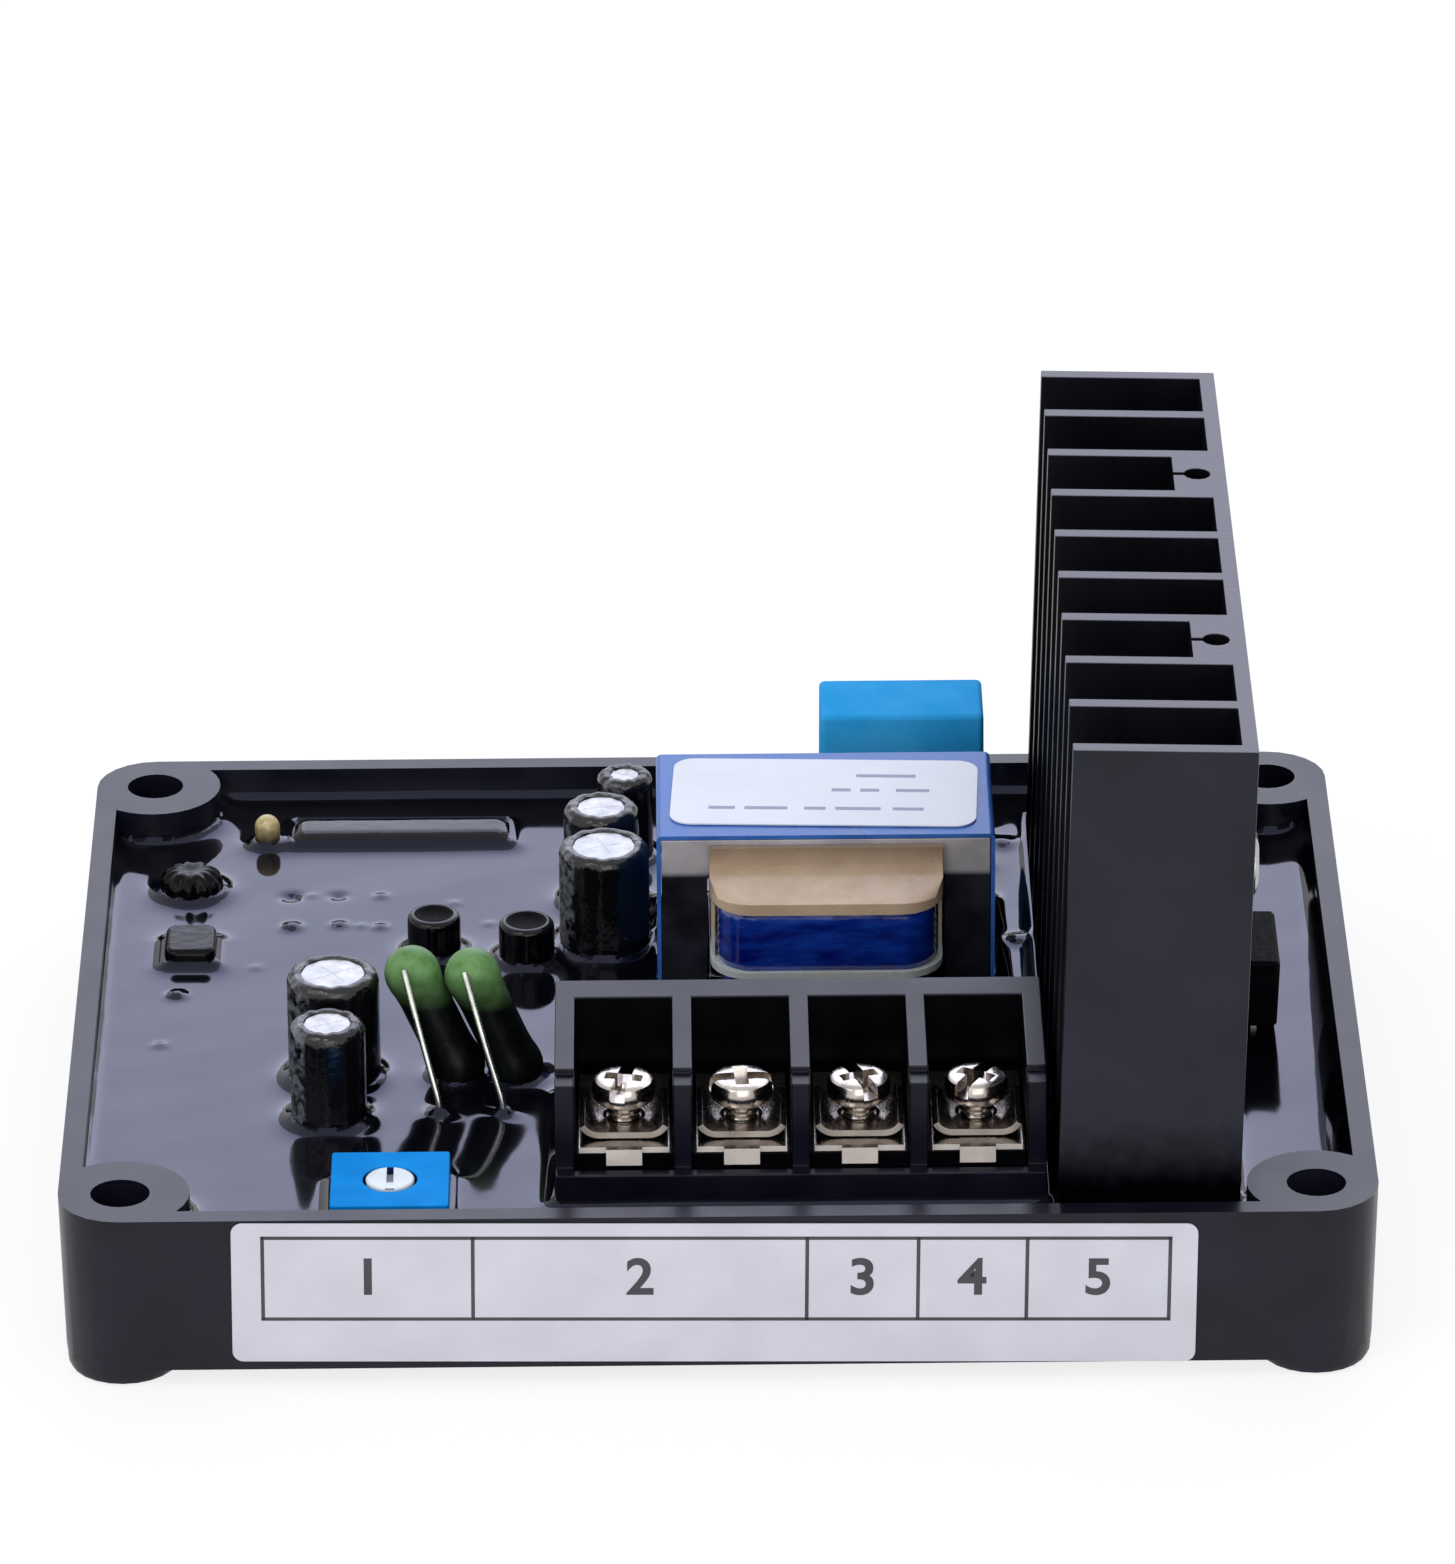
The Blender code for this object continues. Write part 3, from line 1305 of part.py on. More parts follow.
def make_low_round(name, place, radius, top, crown, mat):
    centre = REAR_CORNER + Vector(place)
    body = turned(
        name,
        ((0, top), (radius * 0.55, top - crown * 0.18), (radius * 0.86, top - crown * 0.5),
         (radius, top - crown), (radius, PART_SEAT), (0, PART_SEAT)),
        centre, ROUND,
    )
    join(body, lead(name + "_tail", centre, PART_SEAT + OVERLAP))
    show(body, mat)
    pocket_bar(name + "_pocket", radius, centre)


def make_rating_label(mat):
    """On the front wall, which is drafted, so the label leans back with it."""
    length = RATING_LABEL_LENGTH
    height = RATING_LABEL_HEIGHT
    label = block("rating_label", (-length / 2, -height / 2, 0), (length / 2, height / 2, LABEL_FILM),
                  RATING_LABEL_CORNER)
    draft = atan2(CASE_DRAFT_INSET, CASE_HEIGHT - FOOT_HEIGHT)
    drop = CASE_HEIGHT - RATING_LABEL_Z
    wall_y = -CASE_WIDTH / 2 + drop * sin(draft) / cos(draft)
    turn = Matrix.Rotation(pi / 2 + draft, 4, "X") @ Matrix.Rotation(-RATING_LABEL_TURN, 4, "Z")
    face = Matrix.Translation((RATING_LABEL_X, wall_y, RATING_LABEL_Z))
    label.matrix_world = face @ turn @ Matrix.Translation((0, 0, FILM_GAP + LABEL_FILM / 2))
    show(label, mat)


clear_scene()
model = new_collection("voltage_regulator")
cutters = new_collection("cutters")
sink_frame = make_sink_frame()
bpy.context.view_layer.update()

black_plastic = material("black_plastic", (0.012, 0.012, 0.014), 0.35)
resin = material("resin", (0.008, 0.008, 0.011), 0.08)
fibre = material("fibre_board", (0.08, 0.16, 0.07), 0.5)
anodised = material("anodised", (0.014, 0.014, 0.018), 0.4, 0.2)
steel = material("steel", (0.55, 0.53, 0.5), 0.25, 1.0)
nickel = material("nickel", (0.75, 0.68, 0.62), 0.2, 1.0)
package_black = material("package_black", (0.01, 0.01, 0.011), 0.45)
trimmer_blue = material("trimmer_blue", (0.002, 0.22, 0.68), 0.35)
rotor_white = material("rotor_white", (0.85, 0.85, 0.85), 0.4)
core_steel = material("core_steel", (0.2, 0.18, 0.17), 0.45, 0.6)
bobbin_cream = material("bobbin_cream", (0.55, 0.42, 0.28), 0.4)
winding_blue = material("winding_blue", (0.0, 0.01, 0.2), 0.25)
tape_blue = material("tape_blue", (0.09, 0.18, 0.6), 0.35)
label_white = material("label_white", (0.8, 0.8, 0.85), 0.4)
box_blue = material("box_blue", (0.02, 0.28, 0.66), 0.4)
can_aluminium = material("can_aluminium", (0.85, 0.85, 0.86), 0.25, 1.0)
sleeve_black = material("sleeve_black", (0.01, 0.01, 0.013), 0.2)
green_enamel = material("green_enamel", (0.09, 0.22, 0.06), 0.35)
tinned = material("tinned", (0.7, 0.7, 0.66), 0.25, 1.0)
coated = material("coated", (0.012, 0.012, 0.016), 0.12)
tan_enamel = material("tan_enamel", (0.5, 0.36, 0.17), 0.35)

make_heatsink(anodised)
make_sink_screws(steel)
make_device(package_black, steel)
make_terminal_housing(black_plastic)
make_contact_plates(nickel)
make_clamp_washers(nickel)
make_terminal_screws(nickel)
make_trimmer(trimmer_blue, rotor_white)
make_core(core_steel)
make_bobbin(bobbin_cream)
make_windings(winding_blue)
make_tape(tape_blue, label_white)
make_box_capacitor(box_blue)
for can in FRONT_ELECTROLYTICS:
    make_electrolytic(TERMINAL_CORNER, *can, can_aluminium, sleeve_black)
for can in REAR_ELECTROLYTICS:
    make_electrolytic(CORE_CORNER, *can, can_aluminium, sleeve_black)
for small in SMALL_CAPACITORS:
    make_small_capacitor(*small, sleeve_black)
for index, green in enumerate(GREEN_RESISTORS):
    make_green_resistor(index + 1, green, green_enamel, tinned)
make_low_block("ceramic_resistor", CERAMIC_CENTRE, CERAMIC_LENGTH, CERAMIC_WIDTH, CERAMIC_TOP,
               CERAMIC_EDGE, coated)
make_low_block("coated_film_capacitor", FILM_CENTRE, FILM_LENGTH, FILM_WIDTH, FILM_TOP,
               CERAMIC_EDGE, coated)
make_low_round("upright_resistor", UPRIGHT_CENTRE, UPRIGHT_RADIUS, UPRIGHT_TOP, UPRIGHT_RADIUS,
               tan_enamel)
make_low_round("coated_choke", CHOKE_CENTRE, CHOKE_RADIUS, CHOKE_TOP, CHOKE_RADIUS / 2, coated)
make_rating_label(label_white)
make_case(black_plastic)
make_board(fibre)
make_resin(resin)
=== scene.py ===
"""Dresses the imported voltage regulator: a potted board in an open tray, with a finned heatsink.

Blender 4.5. Metres, +Z up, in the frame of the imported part: +X towards the heatsink, +Y away
from the terminals, and the underside of the tray's feet at zero.
"""
import math

import bmesh
import bpy
import numpy as np
from bpy.props import FloatProperty, FloatVectorProperty, PointerProperty
from mathutils import Matrix, Vector


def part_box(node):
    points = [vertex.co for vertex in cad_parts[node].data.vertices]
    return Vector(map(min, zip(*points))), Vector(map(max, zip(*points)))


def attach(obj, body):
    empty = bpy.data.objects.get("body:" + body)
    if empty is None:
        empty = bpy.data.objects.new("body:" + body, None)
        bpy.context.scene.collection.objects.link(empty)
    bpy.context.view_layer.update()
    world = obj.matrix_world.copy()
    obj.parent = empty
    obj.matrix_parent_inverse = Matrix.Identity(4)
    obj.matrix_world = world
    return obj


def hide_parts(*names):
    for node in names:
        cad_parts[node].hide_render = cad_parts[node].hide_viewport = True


bl_info = {
    "name": "Potted voltage regulator",
    "version": (1, 0, 0),
    "blender": (4, 5, 0),
    "location": "View3D > Sidebar > Regulator",
    "description": "Tray, resin, heatsink, terminals and board parts of a voltage regulator",
    "category": "Add Mesh",
}

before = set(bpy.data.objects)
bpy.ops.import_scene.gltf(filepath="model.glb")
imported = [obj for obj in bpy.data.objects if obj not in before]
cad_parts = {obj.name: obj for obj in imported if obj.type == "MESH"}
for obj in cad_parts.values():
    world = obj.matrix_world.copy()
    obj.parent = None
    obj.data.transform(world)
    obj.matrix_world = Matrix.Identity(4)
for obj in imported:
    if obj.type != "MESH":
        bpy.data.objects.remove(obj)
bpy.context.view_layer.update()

MM = 0.001
ROOT = "regulator"
# How near two points lie that are merged: in new shapes, and in copies of packed ones
WELD = 1e-7
CAD_WELD = 1e-6

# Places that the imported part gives, in metres
RESIN_LEVEL = 0.0123
BOARD_TOP = 0.0063
PART_FOOT = 6.5 * MM
INNER_X = 0.0512
INNER_Y = 0.0412
HOLE_X = 0.048
HOLE_Y = 0.038
BOSS_RADIUS = 0.0056
WAYS = (1, 2, 3, 4)
SINK_DEPTH = 0.01465
SINK_PLACE = (
    Matrix.Translation((0.04165, -0.0393, 0.0065))
    @ Matrix.Rotation(math.radians(1.4), 4, "Y")
    @ Matrix.Translation((-SINK_DEPTH, 0, 0))
)
# A label's thickness, and how far it stands off what carries it
FILM = 0.12 * MM
FILM_GAP = 0.06 * MM


# Shaping

def deselect_all():
    bpy.ops.object.select_all(action="DESELECT")


def take(piece):
    """Makes a piece the active one, and the only one selected."""
    deselect_all()
    piece.select_set(True)
    bpy.context.view_layer.objects.active = piece


def added(name):
    """The primitive that was just added, named."""
    piece = bpy.context.object
    piece.name = name
    piece.data.name = name
    return piece


def settle(piece):
    """Moves a piece's place into its mesh."""
    take(piece)
    bpy.ops.object.transform_apply(location=True, rotation=True, scale=True)
    return piece


def placed(piece, place):
    """Moves a piece by a matrix, and leaves its object at the origin."""
    piece.matrix_world = place
    return settle(piece)


def set_down(middle, height, turn):
    """A place over a point, at a height and turned about Z."""
    return Matrix.Translation((middle.x, middle.y, height)) @ Matrix.Rotation(turn, 4, "Z")


def block(name, low, high):
    low, high = Vector(low), Vector(high)
    deselect_all()
    bpy.ops.mesh.primitive_cube_add(size=1, location=(low + high) / 2, scale=high - low)
    return settle(added(name))


def board_block(name, node):
    """A block for a board part, from the foot of the parts' bodies up, and its top's height."""
    low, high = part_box(node)
    return block(name, (low.x, low.y, PART_FOOT), high), high.z


def rod(name, radius, low, high, at, sides):
    deselect_all()
    bpy.ops.mesh.primitive_cylinder_add(
        vertices=sides, radius=radius, depth=high - low, location=(at[0], at[1], (low + high) / 2)
    )
    return settle(added(name))


def open_shape(piece):
    take(piece)
    bpy.ops.object.mode_set(mode="EDIT")
    bpy.ops.mesh.select_all(action="DESELECT")


def close_shape():
    bpy.ops.object.mode_set(mode="OBJECT")


def pick(piece, kind, wanted):
    """Selects the faces or edges that wanted says yes to. The piece is open."""
    bpy.ops.mesh.select_mode(type=kind[:-1].upper())
    bpy.ops.mesh.select_all(action="DESELECT")
    shape = bmesh.from_edit_mesh(piece.data)
    for item in getattr(shape, kind):
        if wanted(item):
            item.select_set(True)
    shape.select_flush_mode()
    bmesh.update_edit_mesh(piece.data)


def upright(edge):
    """Whether an edge stands along Z."""
    line = edge.verts[0].co - edge.verts[1].co
    return abs(line.z) > 0.99 * line.length


def level_at(height):
    """A test for edges that lie at one height."""
    return lambda edge: all(abs(v.co.z - height) < WELD * 100 for v in edge.verts)


def bevel_picked(piece, wanted, width, segments):
    open_shape(piece)
    pick(piece, "edges", wanted)
    bpy.ops.mesh.bevel(offset=width, segments=segments, profile=0.5, affect="EDGES")
    close_shape()


def cut_across(middle, normal):
    """Cuts the open piece along a plane, and keeps both sides."""
    bpy.ops.mesh.select_all(action="SELECT")
    bpy.ops.mesh.bisect(plane_co=middle, plane_no=normal)


def point_out(piece):
    """Merges doubles and turns every face outwards."""
    open_shape(piece)
    bpy.ops.mesh.select_all(action="SELECT")
    bpy.ops.mesh.remove_doubles(threshold=WELD)
    bpy.ops.mesh.normals_make_consistent(inside=False)
    close_shape()


def modified(piece, kind, **settings):
    """Adds a modifier with its settings and applies it."""
    take(piece)
    bpy.ops.object.modifier_add(type=kind)
    modifier = piece.modifiers[-1]
    for name, value in settings.items():
        setattr(modifier, name, value)
    bpy.ops.object.modifier_apply(modifier=modifier.name)


def soften(piece, width, angle=35):
    """Rounds every edge that is sharper than an angle."""
    modified(
        piece, "BEVEL", width=width, segments=2, limit_method="ANGLE",
        angle_limit=math.radians(angle), use_clamp_overlap=True,
    )


def combine(operation, piece, *others):
    """Cuts others out of a piece, or makes one closed solid of it and them."""
    for other in others:
        modified(piece, "BOOLEAN", operation=operation, solver="EXACT", object=other)
        bpy.data.objects.remove(other)


def turned(name, profile, at=(0, 0), steps=64):
    """A body of revolution about an upright axis, from a line of (radius, height)."""
    deselect_all()
    bpy.ops.mesh.primitive_plane_add(size=MM)
    piece = added(name)
    bpy.ops.object.mode_set(mode="EDIT")
    bpy.ops.mesh.select_mode(type="VERT")
    bpy.ops.mesh.select_all(action="SELECT")
    bpy.ops.mesh.merge(type="CENTER")
    points = [Vector((radius, 0, height)) for radius, height in profile]
    bpy.ops.transform.translate(value=points[0])
    for last, point in zip(points, points[1:]):
        bpy.ops.mesh.extrude_vertices_move(TRANSFORM_OT_translate={"value": point - last})
    close_shape()
    modified(
        piece, "SCREW", axis="Z", angle=math.tau, steps=steps, render_steps=steps,
        use_merge_vertices=True, merge_threshold=WELD,
    )
    point_out(piece)
    piece.location = (at[0], at[1], 0)
    return settle(piece)


def quarter(radius, rise, base):
    """The line of a dome, from its top down to its rim."""
    steps = 8
    angles = [math.pi / 2 * step / steps for step in range(steps + 1)]
    return [(radius * math.sin(angle), base + rise * math.cos(angle)) for angle in angles]


def tube(name, points, radius):
    """A wire through points, as a closed mesh."""
    deselect_all()
    bpy.ops.curve.primitive_nurbs_path_add()
    curve = added(name).data
    curve.splines.clear()
    line = curve.splines.new("NURBS")
    line.points.add(len(points) - 1)
    for spot, point in zip(line.points, points):
        spot.co = (*point, 1)
    line.use_endpoint_u = True
    line.order_u = 3
    line.resolution_u = 8
    curve.bevel_depth = radius
    curve.bevel_resolution = 6
    curve.use_fill_caps = True
    take(bpy.context.object)
    bpy.ops.object.convert(target="MESH")
    point_out(bpy.context.object)
    return bpy.context.object


def dressed_copy(name, node, soft=0, angle=35):
    """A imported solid's shape with its flat faces whole again and its edges softened."""
    deselect_all()
    bpy.ops.mesh.primitive_cube_add(size=MM)
    piece = added(name)
    piece.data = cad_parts[node].data.copy()
    piece.data.name = name
    open_shape(piece)
    bpy.ops.mesh.select_all(action="SELECT")
    bpy.ops.mesh.customdata_custom_splitnormals_clear()
    bpy.ops.mesh.remove_doubles(threshold=CAD_WELD)
    bpy.ops.mesh.dissolve_limited(angle_limit=math.radians(0.5))
    bpy.ops.mesh.normals_make_consistent(inside=False)
    close_shape()
    if soft:
        soften(piece, soft, angle)
    return piece


def copied(piece, name, shift=(0, 0, 0)):
    """A copy of a piece with its own mesh, moved along."""
    take(piece)
    bpy.ops.object.duplicate()
    twin = added(name)
    twin.location = shift
    return settle(twin)


def joined(parts, name):
    """Several parts as one piece."""
    take(parts[0])
    for part in parts:
        part.select_set(True)
    bpy.ops.object.join()
    return added(name)


def finish_piece(piece, looks, *replaced, body=ROOT, slot="", smooth=32, flat=True):
    """Gives a piece its finishes and shading, hides the parts it replaces, and hangs it under its
    body.
    """
    take(piece)
    looks = (looks,) if isinstance(looks, str) else looks
    slot = slot or looks[0]
    piece.data.materials.clear()
    for look in looks:
        piece.data.materials.append(finishes[look])
    bpy.ops.object.shade_smooth_by_angle(angle=math.radians(smooth))
    if flat:
        modified(piece, "WEIGHTED_NORMAL", keep_sharp=True, weight=60)
    if replaced:
        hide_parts(*replaced)
    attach(piece, body)


def label_film(name, half_x, half_y, corner, segments):
    """A label with round corners, lying flat."""
    film = block(name, (-half_x, -half_y, 0), (half_x, half_y, FILM))
    bevel_picked(film, upright, corner, segments)
    return film


def lay(piece, place, look, slot, *replaced):
    """Lays a label or its ink in its place and finishes it."""
    finish_piece(placed(piece, place), look, *replaced, slot=slot)


def paint_faces(piece, wanted, index=1):
    """Gives the faces that wanted says yes to another of the piece's finishes."""
    for face in piece.data.polygons:
        if wanted(face):
            face.material_index = index


def measures(node):
    """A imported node's lowest and highest corner, its middle and half its width."""
    low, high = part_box(node)
    return low, high, (low + high) / 2, (high.x - low.x) / 2


def centre_of(node):
    return measures(node)[2]


# Finishes

finishes = {}


def srgb(red, green, blue):
    """A colour as it is seen on a screen, 0 to 255, as Blender's linear one."""
    def linear(value):
        value /= 255
        return value / 12.92 if value <= 0.04045 else ((value + 0.055) / 1.055) ** 2.4
    return (linear(red), linear(green), linear(blue), 1.0)


def feed(tree, socket, value):
    """Links another node's output to a socket, or sets its number or colour."""
    if isinstance(value, bpy.types.NodeSocket):
        tree.links.new(value, socket)
    else:
        socket.default_value = value


def wired(tree, kind, sockets=(), **settings):
    """A new node with its settings and sockets."""
    made = tree.nodes.new(kind)
    for name, value in settings.items():
        setattr(made, name, value)
    for name, value in dict(sockets).items():
        feed(tree, made.inputs[name], value)
    return made


class Finish:
    """A Principled material and the nodes that feed it."""

    def __init__(self, name, **sockets):
        material = bpy.data.materials.new(name)
        material.use_nodes = True
        finishes[name] = material
        self.tree = material.node_tree
        self.shader = self.tree.nodes["Principled BSDF"]
        for socket, value in sockets.items():
            self.put(socket.replace("_", " "), value)
        self.place = self.node("ShaderNodeTexCoord").outputs["Object"]
        self.grains = {}

    def node(self, kind, sockets=(), **settings):
        return wired(self.tree, kind, sockets, **settings)

    def put(self, socket, value):
        feed(self.tree, self.shader.inputs[socket], value)

    def noise(self, size, detail=3, stretch=(1, 1, 1), rough=0.5):
        """Cloudy grain, with blotches about size metres across."""
        grain = (size, detail, stretch, rough)
        if grain not in self.grains:
            place = self.node("ShaderNodeMapping", {"Vector": self.place, "Scale": stretch})
            self.grains[grain] = self.node("ShaderNodeTexNoise", {
                "Vector": place.outputs["Vector"], "Scale": 1 / size, "Detail": detail,
                "Roughness": rough,
            }).outputs["Fac"]
        return self.grains[grain]

    def spread(self, value, low=0, high=1, from_low=0.3, from_high=0.7):
        return self.node("ShaderNodeMapRange", {
            "Value": value, "From Min": from_low, "From Max": from_high, "To Min": low,
            "To Max": high,
        }).outputs["Result"]

    def blend(self, share, first, second):
        mixer = self.node("ShaderNodeMix", data_type="RGBA")
        for number, value in ((0, share), (6, first), (7, second)):
            feed(self.tree, mixer.inputs[number], value)
        return mixer.outputs[2]

    def mottle(self, grain, dark, light):
        """Two colours that follow a grain."""
        return self.blend(self.spread(grain), srgb(*dark), srgb(*light))

    def sums(self, operation, first, second=0.0):
        made = self.node("ShaderNodeMath", {0: first, 1: second}, operation=operation)
        return made.outputs["Value"]

    def along(self, axis):
        """The distance along X, Y or Z, in metres."""
        return self.node("ShaderNodeSeparateXYZ", {"Vector": self.place}).outputs[axis]

    def above(self, low, high):
        """How far a place is on its way up between two heights."""
        return self.spread(self.along("Z"), 0, 1, low, high)

    def colour(self, value):
        self.put("Base Color", value)

    def rough(self, value):
        self.put("Roughness", value)

    def raise_by(self, height, distance):
        bump = self.node("ShaderNodeBump", {"Height": height, "Distance": distance})
        normal = self.shader.inputs["Normal"]
        if normal.is_linked:
            feed(self.tree, bump.inputs["Normal"], normal.links[0].from_socket)
        self.put("Normal", bump.outputs["Normal"])


def mottled(name, dark, light, cloud, rough, relief, **sockets):
    """A finish from three grains: its colour's, its gloss's and its relief's.

    A grain is a noise's size, detail, stretch and roughness. The lowest and the highest roughness
    of the finish stand before the second grain, and the depth of the relief before the third.
    """
    made = Finish(name, **sockets)
    made.colour(made.mottle(made.noise(*cloud), dark, light))
    made.rough(made.spread(made.noise(*rough[2:]), *rough[:2]))
    made.raise_by(made.noise(*relief[1:]), relief[0])


def black_plastic(name, dark, light, **sockets):
    cloud = (0.006,)
    mottled(
        name, dark, light, cloud, (0.26, 0.34, *cloud), (0.000006, 0.00022, 2), IOR=1.34, **sockets
    )


def bright_metal(name, dark, light, low, high):
    scratch = (0.00012, 3, (1, 0.25, 1))
    mottled(
        name, dark, light, (0.0012,), (low, high, *scratch), (0.000002, *scratch), Metallic=1.0
    )


def film(name, dark, light):
    """Printed film or ink."""
    cloud = (0.006,)
    mottled(name, dark, light, cloud, (0.3, 0.42, *cloud), (0.000008, 0.0009), IOR=1.45)


def grained(name, dark, light, low, high, size, depth, **sockets):
    """A finish whose gloss and relief follow one grain, and its colour a coarser one."""
    grain = (size, 4)
    mottled(name, dark, light, (size * 8,), (low, high, *grain), (depth, *grain), **sockets)


def enamel(name, foot, dark, light, cloud, rise, rough, depth, **sockets):
    """An enamel that turns to a darker colour towards its foot."""
    made = Finish(name, **sockets)
    grain = made.noise(*cloud)
    made.colour(made.blend(made.above(*rise), srgb(*foot), made.mottle(grain, dark, light)))
    made.rough(made.spread(grain, *rough))
    made.raise_by(grain, depth)


def anodised(name, dark, light, gloss):
    """Drawn lines run up the extrusion, and a painted dark reflection blackens its foot."""
    made = Finish(name, IOR=1.34, Specular_IOR_Level=gloss)
    lines = made.noise(0.0004, 3, (1, 1, 0.012))
    # Painted reflection of the dark tray and resin: the foot is blackened and loses its gloss, with
    # a ragged top edge
    reflection_edge_noise = made.sums("MULTIPLY", made.noise(0.0016, 4), 0.004)
    clear_of_painted_reflection = made.spread(made.sums("ADD", made.along("Z"), reflection_edge_noise), 0, 1, 0.0175, 0.0235)
    made.colour(made.blend(clear_of_painted_reflection, srgb(2, 2, 4), made.mottle(made.noise(0.01), dark, light)))
    made.put("Specular IOR Level", made.spread(clear_of_painted_reflection, 0.03, gloss, 0, 1))
    made.rough(made.spread(lines, 0.3, 0.42))
    made.raise_by(lines, 0.00001)


def core_steel():
    """Stacked sheets, lighter above and darker below."""
    made = Finish("core_steel", Metallic=0.2, Coat_Weight=0.5, Coat_Roughness=0.12)
    sheet = 0.0005
    stack = made.sums("FRACT", made.sums("MULTIPLY", made.along("Y"), 1 / sheet))
    from_middle = made.sums("ABSOLUTE", made.sums("SUBTRACT", stack, 0.5))
    stain = made.noise(0.003)
    bare = made.mottle(stain, (160, 156, 162), (188, 183, 188))
    darker_below = made.mottle(stain, (14, 14, 22), (34, 36, 48))
    made.colour(made.blend(made.above(0.0224, 0.0229), darker_below, bare))
    made.rough(made.spread(stain, 0.3, 0.5))
    made.raise_by(made.sums("SUBTRACT", 1.0, made.spread(from_middle, 0, 1, 0.38, 0.5)), 0.00005)


def bobbin_cream():
    """Cream plastic, with painted shade browning it towards its top, and pale low down."""
    made = Finish("bobbin_cream", Subsurface_Weight=0.08, Subsurface_Scale=0.001)
    cream = made.mottle(made.noise(0.004), (196, 174, 150), (178, 155, 131))
    # Painted shade from under the tape's edge, browning the top of the flange
    painted_top_shade = made.sums("MULTIPLY", made.above(0.0228, 0.0254), 0.75)
    wear_and_painted_shade = made.blend(painted_top_shade, cream, srgb(112, 90, 74))
    pale = made.spread(made.along("Z"), 1, 0, 0.0168, 0.0200)
    made.colour(made.blend(pale, wear_and_painted_shade, srgb(186, 192, 190)))
    made.rough(made.spread(made.noise(0.001), 0.22, 0.38))
    made.raise_by(made.noise(0.0006), 0.00001)


def sleeve_black():
    """Shrunk black film with a mottled grey stripe, which the piece's own attribute places."""
    made = Finish("sleeve_black")
    stripe = made.node("ShaderNodeAttribute", attribute_name="stripe").outputs["Fac"]
    wear_and_painted_shade = made.spread(made.noise(0.0008, 4), 0, 1, 0.42, 0.6)
    share = made.sums("MULTIPLY", stripe, wear_and_painted_shade)
    made.colour(made.blend(share, srgb(9, 9, 12), srgb(92, 96, 104)))
    made.rough(made.spread(made.noise(0.002), 0.1, 0.22))
    made.raise_by(made.noise(0.0016), 0.00007)
    made.raise_by(made.noise(0.0007, 2), 0.00006)


